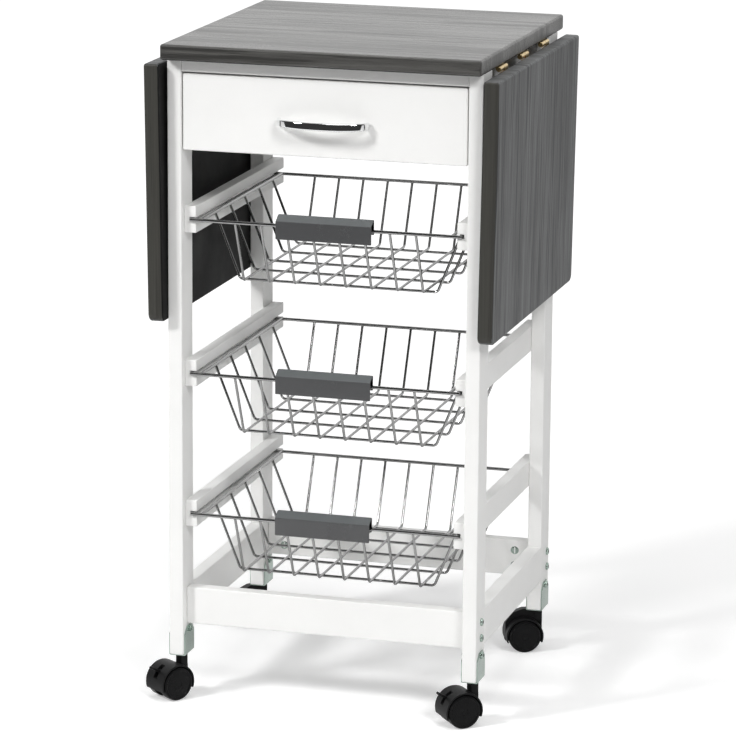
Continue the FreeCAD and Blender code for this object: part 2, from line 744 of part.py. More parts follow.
def make_leaf(side):
    """A drop leaf, hanging, drawn from its hinge axis: +X is its outer face."""
    body = add_body("leaf_%s" % side, "%d * (%s)" % (SIDES[side], AXIS_HALF), "0", AXIS_LEVEL, leaf_turn(side))
    block(body, "leaf_thick", "leaf_long", "leaf_tall", HINGE_OFFSET, "-leaf_long / 2",
          "-leaf_tall - (%s)" % LEAF_EDGE)

    def outer_corner(first, last):
        return runs_along(0)(first, last) and first.z < -SIZES["leaf_tall"] / 2

    soften(body, "Fillet", edges_where(body.Tip, outer_corner), "leaf_corner")
    soften(body, "Chamfer", edges_where(body.Tip, lambda first, last: True), "board_bevel")


def hinge_spots():
    """The middle of each flap hinge along its leaf."""
    return ["hinge_pitch * (%d - (hinges - 1) / 2)" % i for i in range(SIZES["hinges"])]


def make_hinges():
    """Flap hinges: top plates with knuckle and pin, and leaf plates whose knuckles turn on the pins."""
    plates = add_body("hinge_top_plates", z=AXIS_LEVEL)
    full = "2 * knuckle_long"
    under = "knuckle_wide / 2 - plate_thick"
    clear = "knuckle_wide / 2 + knuckle_gap"
    for sign in SIDES.values():
        axis = "%d * (%s)" % (sign, AXIS_HALF)
        for middle in hinge_spots():
            knuckle_y = middle + (" - knuckle_long" if sign > 0 else "")
            plate_x = least(sign, "%s - plate_reach" % AXIS_HALF, "plate_reach - (%s)" % clear)
            tongue_x = least(sign, "%s - plate_reach" % AXIS_HALF, "plate_reach")
            block(plates, "plate_reach - (%s)" % clear, full, "plate_thick", plate_x, middle + " - knuckle_long", under)
            block(plates, "plate_reach", "knuckle_long", "plate_thick", tongue_x, knuckle_y, under)
            rod(plates, "y", "knuckle_wide", "knuckle_long", axis, knuckle_y, sides=HEAD_SIDES)
            rod(plates, "y", "hinge_pin_gauge", full, axis, middle + " - knuckle_long", sides=HEAD_SIDES)
    for side, sign in SIDES.items():
        body = add_body("hinge_leaf_plates_%s" % side, "%d * (%s)" % (sign, AXIS_HALF), "0", AXIS_LEVEL,
                        leaf_turn(side))
        for middle in hinge_spots():
            knuckle_y = middle + " + knuckle_gap"
            own = "knuckle_long - knuckle_gap"
            block(body, "plate_thick", full, "plate_drop - (%s)" % clear, under, middle + " - knuckle_long", "-plate_drop")
            block(body, "plate_thick", own, "plate_drop", under, knuckle_y, "-plate_drop")
            rod(body, "y", "knuckle_wide", own, "0", knuckle_y, sides=HEAD_SIDES)
            rod(body, "y", "hinge_pin_gauge + 2 * hinge_pin_play", own, "0", knuckle_y, cut=True, sides=HEAD_SIDES)


# ---------------------------------------------------------------- casters
def caster_spot(corner):
    """The swivel axis of a caster as expressions for x and y."""
    end, side = corner.split("_")
    return "%d * (%s)" % (SIDES[side], LEG_X), "%d * (%s)" % (ENDS[end], LEG_Y)


def behind_stem(corner, distance):
    """A spot behind a caster's swivel axis, as expressions for x and y."""
    x, y = caster_spot(corner)
    heading = HEADINGS[corner]
    return "%s - (%s) * cos(%d)" % (x, distance, heading), "%s - (%s) * sin(%d)" % (y, distance, heading)


def make_hood(corner):
    """A caster hood: a central web, a drum cover over both wheels and a stem block.

    The rear casters have no brake, and their web rises to a ridge behind the stem.
    """
    x, y = caster_spot(corner)
    body = add_body("caster_hood_%s" % corner, x, y, "0", App.Rotation(V(0, 0, 1), HEADINGS[corner]))
    axle = "wheel_wide / 2"
    well = "wheel_wide + 2 * hood_play"
    rod(body, "y", well + " + 2 * hood_wall", "hood_cover", "-trail", "-hood_cover / 2", axle, sides=WHEEL_SIDES)
    side_room = "(hood_cover - web_thick) / 2"
    for sign in SIDES.values():
        start = least(sign, "web_thick / 2", side_room)
        rod(body, "y", well, side_room, "-trail", start, axle, cut=True, sides=WHEEL_SIDES)
    block(body, "2 * wheel_wide", "2 * hood_cover", "hood_edge + wheel_wide / 2", "-trail - wheel_wide", "-hood_cover",
          "-wheel_wide / 2", cut=True)
    roof = "leg_foot - bracket_sheet - swivel_gap"
    block(body, "stem_block", "web_thick", "%s - (%s)" % (roof, axle), "-stem_block / 2", "-web_thick / 2", axle)
    block(body, "stem_block", "stem_block", "%s - shoulder_level" % roof, "-stem_block / 2", "-stem_block / 2",
          "shoulder_level")
    if corner.startswith("rear"):
        drum_back = "-trail - wheel_wide / 2 - hood_play - hood_wall"
        ridge = add_sketch(body, "XZ_Plane")
        outline(ridge, [
            ("stem_block / 2", roof),
            ("stem_block / 2 - ridge_long", roof),
            ("stem_block / 2 - ridge_long - ridge_slope_long", "%s - ridge_slope_drop" % roof),
            (drum_back, "%s - ridge_back_drop" % roof),
            (drum_back, "hood_edge"),
            ("-trail", "hood_edge"),
            ("stem_block / 2", axle),
        ])
        pad(body, ridge, "web_thick", both_ways=True)
    rod(body, "y", AXLE_CORNERS, "web_thick", "-trail", "-web_thick / 2", axle, cut=True, sides=BORE_SIDES)
    rod(body, "z", "stem_gauge + 2 * stem_play", "stem_bite + swivel_gap", "0", "0",
        "%s - stem_bite - swivel_gap" % roof, cut=True, sides=BORE_SIDES)
    if corner.startswith("front"):
        slot = "lever_thick + 2 * lever_play"
        pivot_x, pivot_z = "-trail - lever_back", "wheel_wide / 2 + lever_rise"
        block(body, "lever_slot_long", slot, "lever_slot_long",
              pivot_x + " + lever_hub / 2 + lever_slot_room - lever_slot_long", "-(%s) / 2" % slot,
              pivot_z + " - lever_hub", cut=True)
        rod(body, "y", "trunnion_gauge + 2 * axle_play", "web_thick", pivot_x, "-web_thick / 2", pivot_z, True, HEAD_SIDES)


def make_wheels(corner):
    """The twin wheels of a caster, closed on the outside, on the axle that turns in the hood's web."""
    x, y = behind_stem(corner, "trail")
    body = add_body("wheels_%s" % corner, x, y, "wheel_wide / 2", App.Rotation(V(0, 0, 1), HEADINGS[corner]))
    inner = "web_thick / 2 + wheel_gap"
    for lift in ("-(%s + wheel_thick)" % inner, inner):
        tread = add_sketch(body, "XZ_Plane", lift)
        polygon(tread, WHEEL_SIDES, "wheel_wide")
        pad(body, tread, "wheel_thick")
    outer = SIZES["web_thick"] / 2 + SIZES["wheel_gap"] + SIZES["wheel_thick"]
    rim = edges_where(body.Tip, lambda a, b: min(abs(a.y), abs(b.y)) > outer - 1e-6)
    soften(body, "Chamfer", rim, "wheel_arris")
    rod(body, "y", "axle_gauge", "axle_long", "0", "-axle_long / 2", sides=HEAD_SIDES)


def make_brake_lever(corner):
    """A brake lever: hub with trunnions in the hood's web, and an arm with a wider toe outside it."""
    x, y = behind_stem(corner, "trail + lever_back")
    facing = App.Rotation(V(0, 0, 1), HEADINGS[corner])
    tilt = App.Rotation(V(0, 1, 0), -SIZES["pedal_tilt"])
    body = add_body("brake_lever_%s" % corner, x, y, "wheel_wide / 2 + lever_rise", facing.multiply(tilt))
    rod(body, "y", "lever_hub", "lever_thick", "0", "-lever_thick / 2", sides=HEAD_SIDES)
    block(body, "pedal_long", "lever_thick", "pedal_thick", "0", "-lever_thick / 2", "-pedal_thick / 2")
    block(body, "pedal_bar", "pedal_wide", "pedal_thick", "pedal_long - pedal_bar", "-pedal_wide / 2",
          "-pedal_thick / 2")
    rod(body, "y", "trunnion_gauge", "trunnion_long", "0", "-trunnion_long / 2", sides=HEAD_SIDES)


# ---------------------------------------------------------------- build and write
make_top_board()
for end_name in ENDS:
    for side_name in SIDES:
        make_leg(end_name, side_name)
    make_cross_rail(end_name)
for side_name in SIDES:
    make_side_rail(side_name)
    make_drawer_strip(side_name)
    make_leaf(side_name)
    for level_name in LEVELS:
        make_basket_runner(level_name, side_name)
make_top_rails()
make_rail_bolts()
make_barrel_nuts()
make_brackets()
make_bracket_bolts()
make_stems()
make_drawer()
make_handle()
make_hinges()
for level_name in LEVELS:
    make_basket(level_name)
    make_grip(level_name)
for corner_name in HEADINGS:
    make_hood(corner_name)
    make_wheels(corner_name)
    if corner_name.startswith("front"):
        make_brake_lever(corner_name)
doc.recompute()

for thing in doc.Objects:
    if "Invalid" in thing.State or "Error" in thing.State:
        raise RuntimeError("%s did not compute: %s" % (thing.Label, thing.State))
os.makedirs("parts", exist_ok=True)
for thing in doc.Objects:
    if thing.TypeId != "PartDesign::Body":
        continue
    if thing.Shape.isNull() or not thing.Shape.isValid() or not thing.Shape.Solids:
        raise RuntimeError("%s has no valid solid" % thing.Label)
    thing.Shape.exportStep("parts/%s.step" % thing.Label)
    print("%-26s %2d solids %9.0f mm3" % (thing.Label, len(thing.Shape.Solids), thing.Shape.Volume))
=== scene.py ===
import json
import math
import bpy
from mathutils import Euler, Matrix, Vector


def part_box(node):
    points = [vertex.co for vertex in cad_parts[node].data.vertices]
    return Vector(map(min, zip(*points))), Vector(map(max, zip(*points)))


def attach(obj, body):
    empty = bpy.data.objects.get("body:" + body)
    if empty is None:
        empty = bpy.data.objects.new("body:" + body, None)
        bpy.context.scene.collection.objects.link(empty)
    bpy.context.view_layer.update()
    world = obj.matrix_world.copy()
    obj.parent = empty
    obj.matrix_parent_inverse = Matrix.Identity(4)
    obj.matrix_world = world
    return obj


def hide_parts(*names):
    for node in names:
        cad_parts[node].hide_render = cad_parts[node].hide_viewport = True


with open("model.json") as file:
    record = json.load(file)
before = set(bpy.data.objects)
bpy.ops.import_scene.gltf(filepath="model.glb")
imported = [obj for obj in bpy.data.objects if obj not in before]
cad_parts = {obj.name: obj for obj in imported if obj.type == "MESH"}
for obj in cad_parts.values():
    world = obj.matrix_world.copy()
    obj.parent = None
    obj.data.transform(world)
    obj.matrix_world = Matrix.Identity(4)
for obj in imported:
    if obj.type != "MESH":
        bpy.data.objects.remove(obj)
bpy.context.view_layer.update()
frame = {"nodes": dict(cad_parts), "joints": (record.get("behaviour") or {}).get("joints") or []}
scene = bpy.context.scene
scene.view_settings.view_transform = "Standard"

# ------------------------------------------------------------------ camera
# A long lens to the right of the drawer side and above the worktop, looking down a little.
# Its place, turn and focal length were fitted to the corners of the boards in the photograph.
EYE = Vector((1.2909, -4.3830, 1.4512))
YAW = math.radians(16.362)
PITCH = math.radians(13.28)
ROLL = math.radians(0.405)
FRAME_PIXELS = 736
FOCAL_PIXELS = 3988.5
SENSOR_WIDE = 36
FARTHEST = 50

ahead = Vector((-math.sin(YAW) * math.cos(PITCH), math.cos(YAW) * math.cos(PITCH), -math.sin(PITCH)))
level_right = Vector((math.cos(YAW), math.sin(YAW), 0))
level_up = level_right.cross(ahead)
right = level_right * math.cos(ROLL) + level_up * math.sin(ROLL)
up = level_up * math.cos(ROLL) - level_right * math.sin(ROLL)
bpy.ops.object.camera_add()
camera = bpy.context.object
camera.name = "camera"
camera.matrix_world = Matrix.Translation(EYE) @ Matrix((right, up, -ahead)).transposed().to_4x4()
camera.data.sensor_width = SENSOR_WIDE
camera.data.lens = SENSOR_WIDE * FOCAL_PIXELS / FRAME_PIXELS
camera.data.clip_end = FARTHEST
scene.camera = camera


# ------------------------------------------------------------------ floor, backdrop and light
# A plain white floor and surround. Both show white to the camera, and polished metal mirrors
# the white backdrop behind the trolley and a darker room in front of it. The floor keeps the
# trolley's shadow. The main lamp is at the front left, softer ones at the front right and overhead.
def add_node(tree, kind, inputs=None, **settings):
    """A shader node with its settings, and its inputs either linked to a socket or given a value."""
    made = tree.nodes.new("ShaderNode" + kind)
    for name, value in settings.items():
        setattr(made, name, value)
    for name, value in (inputs or {}).items():
        if isinstance(value, bpy.types.NodeSocket):
            tree.links.new(value, made.inputs[name])
        else:
            made.inputs[name].default_value = value
    return made


def math_node(tree, operation, first, second):
    """One step of arithmetic on a value that changes over the surface."""
    return add_node(tree, "Math", {0: first, 1: second}, operation=operation).outputs[0]


def ranged(tree, value, low, high, new_low, new_high):
    """A value's range moved to another range, clamped."""
    inputs = {"Value": value, "From Min": low, "From Max": high, "To Min": new_low, "To Max": new_high}
    return add_node(tree, "MapRange", inputs).outputs[0]


ROOM_TURN, BACKDROP_TURN = -0.2, 0.3
ROOM_TONE, BACKDROP_TONE = 0.04, 1.0
SURROUND_LIGHT = 0.26
world = bpy.data.worlds.new("white_surround")
scene.world = world
world.use_nodes = True
surround = world.node_tree
rays = add_node(surround, "LightPath").outputs
glossy = rays["Is Glossy Ray"]
direction = add_node(surround, "SeparateXYZ", {0: add_node(surround, "TexCoord").outputs["Generated"]})
backdrop = ranged(surround, direction.outputs["Y"], ROOM_TURN, BACKDROP_TURN, ROOM_TONE, BACKDROP_TONE)
seen = math_node(surround, "MAXIMUM", rays["Is Camera Ray"], rays["Is Transmission Ray"])
mirrored = math_node(surround, "MULTIPLY", glossy, backdrop)
lighting = math_node(surround, "MULTIPLY", math_node(surround, "SUBTRACT", 1, glossy), SURROUND_LIGHT)
brightness = math_node(surround, "MAXIMUM", math_node(surround, "MAXIMUM", seen, mirrored), lighting)
surround.links.new(brightness, surround.nodes["Background"].inputs["Strength"])
surround.nodes["Background"].inputs["Color"].default_value = (1, 1, 1, 1)

# The floor's glow is weaker round the trolley, so that the shadow shows there.
FLOOR_WIDE = 16
FLOOR_FRONT = -1.6
FLOOR_WHITE = (0.86, 0.86, 0.86, 1)
MIRRORED_SHARE = 0.4
GLOW_NEAR, GLOW_FAR = 0.30, 0.80
NEAR, FAR = 0.5, 3.0
bpy.ops.mesh.primitive_plane_add(size=FLOOR_WIDE, location=(0, FLOOR_FRONT + FLOOR_WIDE / 2, 0))
floor = bpy.context.object
floor.name = "floor"
bpy.ops.object.transform_apply(location=True, rotation=True, scale=True)
white_floor = bpy.data.materials.new("white_floor")
white_floor.use_nodes = True
ground = white_floor.node_tree
ground.nodes.remove(ground.nodes["Principled BSDF"])
matt = add_node(ground, "BsdfDiffuse", {"Color": FLOOR_WHITE})
rays = add_node(ground, "LightPath").outputs
mirrored = math_node(ground, "MULTIPLY", rays["Is Glossy Ray"], MIRRORED_SHARE)
seen = math_node(ground, "MAXIMUM", rays["Is Camera Ray"], rays["Is Transmission Ray"])
spot = add_node(ground, "TexCoord").outputs["Object"]
away = add_node(ground, "VectorMath", {0: spot}, operation="LENGTH").outputs["Value"]
strength = math_node(ground, "MULTIPLY", math_node(ground, "MAXIMUM", seen, mirrored),
                     ranged(ground, away, NEAR, FAR, GLOW_NEAR, GLOW_FAR))
glow = add_node(ground, "Emission", {"Color": (1, 1, 1, 1), "Strength": strength})
both = add_node(ground, "AddShader", {0: matt.outputs[0], 1: glow.outputs[0]})
ground.links.new(both.outputs[0], ground.nodes["Material Output"].inputs["Surface"])
floor.data.materials.append(white_floor)


def softbox(name, spot, aim, wide, power):
    """A square lamp that points from its spot at a place on the trolley."""
    spot = Vector(spot)
    bpy.ops.object.light_add(type="AREA", location=spot)
    lamp = bpy.context.object
    lamp.name = name
    lamp.rotation_euler = (Vector(aim) - spot).to_track_quat("-Z", "Y").to_euler()
    lamp.data.size = wide
    lamp.data.energy = power


softbox("key_light", spot=(-2.1, -2.3, 2.6), aim=(0, 0, 0.45), wide=0.6, power=80)
softbox("fill_light", spot=(2.3, -2.6, 2.8), aim=(0, 0, 0.45), wide=1.0, power=66)
softbox("top_light", spot=(0.1, -0.3, 3.2), aim=(0, 0, 0.5), wide=1.4, power=30)


# ------------------------------------------------------------------ worktop
# The fixed top is a particle board with a dark grey wood-grain foil wrapped over its rounded
# edges. The grain runs across the trolley, and the foil's lines turn down over the sides.
def start_group(name, inputs, outputs):
    """A shader node group with named inputs and outputs."""
    group = bpy.data.node_groups.new(name, "ShaderNodeTree")
    for label, kind, value in inputs:
        socket = group.interface.new_socket(label, in_out="INPUT", socket_type="NodeSocket" + kind)
        if value is not None:
            socket.default_value = value
    for label, kind in outputs:
        group.interface.new_socket(label, in_out="OUTPUT", socket_type="NodeSocket" + kind)
    entry = group.nodes.new("NodeGroupInput")
    group.nodes.new("NodeGroupOutput")
    return group, entry.outputs


def link_outputs(tree, **sockets):
    """Send sockets out of a node group."""
    out = next(node for node in tree.nodes if node.bl_idname == "NodeGroupOutput")
    for name, socket in sockets.items():
        tree.links.new(socket, out.inputs[name])


def noise(tree, vector, scale, detail, roughness, distortion=0.0):
    """Noise at a scale, which is one value or one number for each axis."""
    if isinstance(scale, tuple):
        vector = add_node(tree, "VectorMath", {0: vector, 1: scale}, operation="MULTIPLY").outputs[0]
        scale = 1.0
    inputs = {"Vector": vector, "Scale": scale, "Detail": detail, "Roughness": roughness,
              "Distortion": distortion}
    return add_node(tree, "TexNoise", inputs).outputs["Fac"]


def weighed(tree, first, weight, second):
    """A sum of two values, the second by what the first one's weight leaves over."""
    return math_node(tree, "ADD", math_node(tree, "MULTIPLY", first, weight),
                     math_node(tree, "MULTIPLY", second, 1 - weight))


def mixed(tree, factor, first, second):
    """A blend of two colours."""
    made = add_node(tree, "Mix", {0: factor}, data_type="RGBA")
    tree.links.new(first, made.inputs[6])
    tree.links.new(second, made.inputs[7])
    return made.outputs[2]


# The grain: x runs along it. Streaks and bands make its tone, and darker marks lie over them.
foil_grain, entry = start_group(
    "foil_grain",
    [("Vector", "Vector", None), ("Dark", "Color", (0.04, 0.042, 0.045, 1)),
     ("Light", "Color", (0.2, 0.2, 0.2, 1)), ("Smooth", "Float", 0.3), ("Rough", "Float", 0.4)],
    [("Color", "Color"), ("Roughness", "Float"), ("Height", "Float")],
)
spot = entry["Vector"]
streaks = noise(foil_grain, spot, scale=(5, 420, 420), detail=4, roughness=0.7)
bands = noise(foil_grain, spot, scale=(1.6, 26, 26), detail=3, roughness=0.55, distortion=0.6)
fine_lines = noise(foil_grain, spot, scale=(3, 170, 170), detail=3, roughness=0.6, distortion=0.6)
rings = noise(foil_grain, spot, scale=(2.4, 64, 64), detail=3, roughness=0.6, distortion=0.9)
pores = noise(foil_grain, spot, scale=(26, 900, 900), detail=2, roughness=0.5)
tone = ranged(foil_grain, weighed(foil_grain, streaks, 0.6, bands), 0.38, 0.62, 0.1, 1)
for layer, clear, marked, depth in ((fine_lines, 0.45, 0.33, 0.8), (rings, 0.43, 0.36, 0.45),
                                    (pores, 0.50, 0.66, 0.22)):
    tone = math_node(foil_grain, "SUBTRACT", tone, ranged(foil_grain, layer, clear, marked, 0, depth))
tone = ranged(foil_grain, tone, 0, 1, 0, 1)
link_outputs(foil_grain, Color=mixed(foil_grain, tone, entry["Dark"], entry["Light"]), Height=tone,
             Roughness=ranged(foil_grain, tone, 0, 1, entry["Rough"], entry["Smooth"]))

RELIEF_DEPTH = 0.0003
AXIS = {"x": 0, "y": 1, "z": 2}


def finished_material(name, group, vector_from, values, relief, shader_values):
    """A material whose colour, roughness and relief come from a node group over Object coordinates.

    vector_from makes the group's vector from the tree and the Object coordinates.
    """
    material = bpy.data.materials.new(name)
    material.use_nodes = True
    tree = material.node_tree
    shader = tree.nodes["Principled BSDF"]
    vector = vector_from(tree, add_node(tree, "TexCoord").outputs["Object"])
    surface = add_node(tree, "Group", node_tree=group)
    tree.links.new(vector, surface.inputs["Vector"])
    for label, value in values.items():
        surface.inputs[label].default_value = value
    bump = add_node(tree, "Bump", {"Height": surface.outputs["Height"], "Strength": relief,
                                   "Distance": RELIEF_DEPTH})
    tree.links.new(surface.outputs["Color"], shader.inputs["Base Color"])
    tree.links.new(surface.outputs["Roughness"], shader.inputs["Roughness"])
    tree.links.new(bump.outputs[0], shader.inputs["Normal"])
    for label, value in shader_values.items():
        shader.inputs[label.replace("_", " ")].default_value = value
    return material


GRAIN_RELIEF = 0.18


def foil_material(name, axes, dark, light, gloss, shine, level=None):
    """Wood-grain foil: the axes along its grain, across it, and through the board.

    On an edge that the foil is turned over, the lines run straight on from the board's level.
    """
    along, across, through = (AXIS[axis] for axis in axes)

    def grain_vector(tree, place):
        spot = add_node(tree, "SeparateXYZ", {0: place}).outputs
        depth = spot[through] if level is None else level
        return add_node(tree, "CombineXYZ", {0: spot[along], 1: spot[across], 2: depth}).outputs[0]

    values = {"Dark": (*dark, 1), "Light": (*light, 1), "Smooth": gloss[0], "Rough": gloss[1]}
    return finished_material(name, foil_grain, grain_vector, values, GRAIN_RELIEF,
                             {"Specular_IOR_Level": shine})


# Smudges and fine relief, for every painted, plated or moulded surface.
surface_marks, entry = start_group(
    "surface_marks",
    [("Vector", "Vector", None), ("Fine Scale", "Float", 600.0), ("Light", "Color", (0.8, 0.8, 0.8, 1)),
     ("Dark", "Color", (0.7, 0.7, 0.7, 1)), ("Smooth", "Float", 0.3), ("Rough", "Float", 0.5)],
    [("Color", "Color"), ("Roughness", "Float"), ("Height", "Float")],
)
broad = noise(surface_marks, entry["Vector"], scale=14, detail=4, roughness=0.6)
fine = noise(surface_marks, entry["Vector"], scale=entry["Fine Scale"], detail=3, roughness=0.6)
smudge = ranged(surface_marks, weighed(surface_marks, broad, 0.7, fine), 0.35, 0.65, 0, 1)
link_outputs(surface_marks, Color=mixed(surface_marks, smudge, entry["Light"], entry["Dark"]), Height=fine,
             Roughness=ranged(surface_marks, smudge, 0, 1, entry["Smooth"], entry["Rough"]))


def marked_material(name, light, dark, gloss, fine_scale, relief, **shader_values):
    """A material whose tone, gloss and fine relief change a little over the surface."""
    values = {"Fine Scale": fine_scale, "Light": (*light, 1), "Dark": (*dark, 1),
              "Smooth": gloss[0], "Rough": gloss[1]}
    return finished_material(name, surface_marks, lambda tree, place: place, values, relief, shader_values)


def sawn_board(name, low, high):
    """A board sawn to size, between its lowest and highest corners."""
    bpy.ops.object.select_all(action="DESELECT")
    bpy.ops.mesh.primitive_cube_add(size=1, location=(low + high) / 2, scale=high - low)
    board = bpy.context.object
    board.name = name
    bpy.ops.object.transform_apply(location=True, rotation=True, scale=True)
    return board


SHARP = math.radians(40)


def round_edges(piece, width, segments):
    """Round every sharp edge of a piece over, and keep its big faces flat to the light."""
    bpy.context.view_layer.objects.active = piece
    rounding = piece.modifiers.new("rounding", "BEVEL")
    rounding.width = width
    rounding.segments = segments
    rounding.limit_method = "ANGLE"
    bpy.ops.object.modifier_apply(modifier=rounding.name)
    bpy.ops.object.shade_smooth_by_angle(angle=SHARP)
    flatness = piece.modifiers.new("flatness", "WEIGHTED_NORMAL")
    flatness.keep_sharp = True
    bpy.ops.object.modifier_apply(modifier=flatness.name)


def fit(piece, material, slot, body, *nodes):
    """Give a piece its finish, and put it on its body in place of the nodes that it stands for."""
    piece.data.materials.clear()
    piece.data.materials.append(material)
    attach(piece, body)
    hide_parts(*nodes)


def face_finish(piece, material, wanted):
    """Give the faces of a piece whose normal passes a test a finish of their own."""
    piece.data.materials.append(material)
    for polygon in piece.data.polygons:
        if wanted(polygon.normal):
            polygon.material_index = len(piece.data.materials) - 1


EDGE_ROUND = 0.003
MOSTLY = 0.7
FOIL_DARK = (0.034, 0.033, 0.031)
FOIL_LIGHT = (0.112, 0.110, 0.104)
TOP_GLOSS = (0.22, 0.32)
TOP_SHINE = 0.5
top_low, top_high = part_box("top_board")
worktop_foil = foil_material("worktop_foil", "xyz", FOIL_DARK, FOIL_LIGHT, TOP_GLOSS, TOP_SHINE)
turned_foil = foil_material("worktop_end_foil", "xyz", FOIL_DARK, FOIL_LIGHT, TOP_GLOSS, TOP_SHINE,
                            top_high.z)
# Painted shade: a near-black finish for the worktop's underside and the leaves' inner faces. It stands in
# for the shade that falls under the worktop and between the legs.
painted_shade_finish = marked_material("painted_shade_finish", (0.010, 0.010, 0.0098), (0.006, 0.006, 0.0058), (0.6, 0.75),
                               900, 0.05, Specular_IOR_Level=0.15)
worktop = sawn_board("worktop", top_low, top_high)
round_edges(worktop, EDGE_ROUND, 5)
fit(worktop, worktop_foil, "dark_top", "frame", "top_board")
face_finish(worktop, turned_foil, lambda normal: abs(normal.x) > MOSTLY)
# The underside gets the near-black painted shade.
face_finish(worktop, painted_shade_finish, lambda normal: normal.z < -MOSTLY)

# ------------------------------------------------------------------ drop leaves
# Each leaf is the same foiled board as the worktop, with round lower corners. It hangs from
# flap hinges and leans in a little against the legs, with its grain upright.
SIDES = (("left", -1), ("right", 1))
LEAF_TALL = 0.298
LEAF_CORNER = 0.010
LEAF_GAP = 0.0018
LEAF_DARK = (0.032, 0.033, 0.034)
LEAF_LIGHT = (0.124, 0.129, 0.130)
LEAF_GLOSS = (0.40, 0.50)
LEAF_SHINE = 0.25
BAND_DARK = (0.034, 0.033, 0.029)
BAND_LIGHT = (0.050, 0.049, 0.043)
edge_band = foil_material("leaf_edge_band", "zxy", BAND_DARK, BAND_LIGHT, LEAF_GLOSS, LEAF_SHINE)
leaf_foil = foil_material("leaf_foil", "zyx", LEAF_DARK, LEAF_LIGHT, LEAF_GLOSS, LEAF_SHINE)
joints = {joint["name"]: joint for joint in frame["joints"]}
leaf_thick = top_high.z - top_low.z


def bevel_edges(piece, width, segments, wanted):
    """Bevel the edges of a piece whose two ends pass a test."""
    bpy.ops.object.select_all(action="DESELECT")
    piece.select_set(True)
    bpy.context.view_layer.objects.active = piece
    bpy.ops.object.mode_set(mode="EDIT")
    bpy.ops.mesh.select_mode(type="EDGE")
    bpy.ops.mesh.select_all(action="DESELECT")
    bpy.ops.object.mode_set(mode="OBJECT")
    for edge in piece.data.edges:
        edge.select = wanted(*(piece.data.vertices[i].co for i in edge.vertices))
    bpy.ops.object.mode_set(mode="EDIT")
    bpy.ops.mesh.bevel(offset=width, segments=segments)
    bpy.ops.object.mode_set(mode="OBJECT")


def set_down(piece, matrix):
    """Move and turn a piece, and keep that in its mesh."""
    bpy.ops.object.select_all(action="DESELECT")
    piece.select_set(True)
    bpy.context.view_layer.objects.active = piece
    piece.matrix_world = matrix
    bpy.ops.object.transform_apply(location=True, rotation=True, scale=True)


def hanging(side):
    """The place of a hanging leaf's hinge axis, turned so that +X is its outer face."""
    hinge = joints["leaf_%s_hinge" % side]
    lean = math.radians(hinge["range_deg"][1] - 90)
    half_turn = 0 if side == "right" else math.pi
    return Matrix.Translation(hinge["pos_m"]) @ Euler((0, lean, half_turn)).to_matrix().to_4x4()


for side, outward in SIDES:
    low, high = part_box("leaf_" + side)
    inner = top_low.z - joints["leaf_%s_hinge" % side]["pos_m"][2]
    half = (high.y - low.y) / 2
    leaf = sawn_board("drop_leaf_" + side, Vector((inner, -half, -LEAF_GAP - LEAF_TALL)),
                      Vector((inner + leaf_thick, half, -LEAF_GAP)))
    bevel_edges(leaf, LEAF_CORNER, 10,
                lambda a, b: max(a.z, b.z) < -LEAF_TALL / 2 and abs(a.x - b.x) > leaf_thick / 2)
    round_edges(leaf, EDGE_ROUND, 5)
    set_down(leaf, hanging(side))
    fit(leaf, leaf_foil, "dark_top", "leaf_" + side, "leaf_" + side)
    turned_foil = foil_material("leaf_end_foil_" + side, "zyx", LEAF_DARK, LEAF_LIGHT, LEAF_GLOSS,
                                LEAF_SHINE, outward * high.x)
    face_finish(leaf, turned_foil, lambda normal: abs(normal.z) > MOSTLY)
    face_finish(leaf, edge_band, lambda normal: abs(normal.y) > MOSTLY)
    # The leaf's inner face gets the near-black painted shade.
    face_finish(leaf, painted_shade_finish, lambda normal: outward * normal.x < -MOSTLY)

# ------------------------------------------------------------------ legs, rails and aprons
# The frame is solid boards in white satin paint, with eased edges. The legs stand narrow face
# to the front. The rails are bolted between them, and the aprons close the drawer's bay.
white_paint = marked_material("white_paint", (0.87, 0.868, 0.855), (0.84, 0.838, 0.825), (0.34, 0.46),
                              900, 0.12)
BOARD_ROUND = 0.0015
corners = [(end, side) for end in ("front", "rear") for side in ("left", "right")]
frame_boards = ["leg_%s_%s" % corner for corner in corners]
frame_boards += ["lower_rail_" + place for place in ("front", "rear", "left", "right")]
frame_boards += ["top_rail_front", "apron_rear", "apron_left", "apron_right"]
for node in frame_boards:
    board = sawn_board(node + "_board", *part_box(node))
    round_edges(board, BOARD_ROUND, 3)
    fit(board, white_paint, "white_boards", "frame", node)


# ------------------------------------------------------------------ runners
# Six wooden runners are screwed to the insides of the legs, with a groove for the baskets'
# slide wires. Two plain strips on the side aprons carry the drawer.
TOUCH = 1e-6


def draw_line(name, points, closed=False):
    """A line through points, left open in edit mode and selected."""
    points = [Vector(point) for point in points]
    if closed:
        points.append(points[0])
    bpy.ops.object.select_all(action="DESELECT")
    bpy.ops.mesh.primitive_plane_add(size=0.001, location=points[0])
    line = bpy.context.object
    line.name = name
    bpy.ops.object.transform_apply(location=True, rotation=True, scale=True)
    bpy.ops.object.mode_set(mode="EDIT")
    bpy.ops.mesh.select_mode(type="VERT")
    bpy.ops.mesh.select_all(action="SELECT")
    bpy.ops.mesh.merge(type="CENTER")
    for last, point in zip(points, points[1:]):
        bpy.ops.mesh.extrude_region_move(TRANSFORM_OT_translate={"value": point - last})
    bpy.ops.mesh.select_all(action="SELECT")
    bpy.ops.mesh.remove_doubles(threshold=TOUCH)
    bpy.ops.mesh.select_all(action="SELECT")
    return line


def drawn_solid(name, points, step):
    """A solid whose flat outline runs through points, drawn out by one step."""
    solid = draw_line(name, points, closed=True)
    bpy.ops.mesh.edge_face_add()
    bpy.ops.mesh.extrude_region_move(TRANSFORM_OT_translate={"value": Vector(step)})
    bpy.ops.mesh.select_all(action="SELECT")
    bpy.ops.mesh.normals_make_consistent(inside=False)
    bpy.ops.object.mode_set(mode="OBJECT")
    return solid


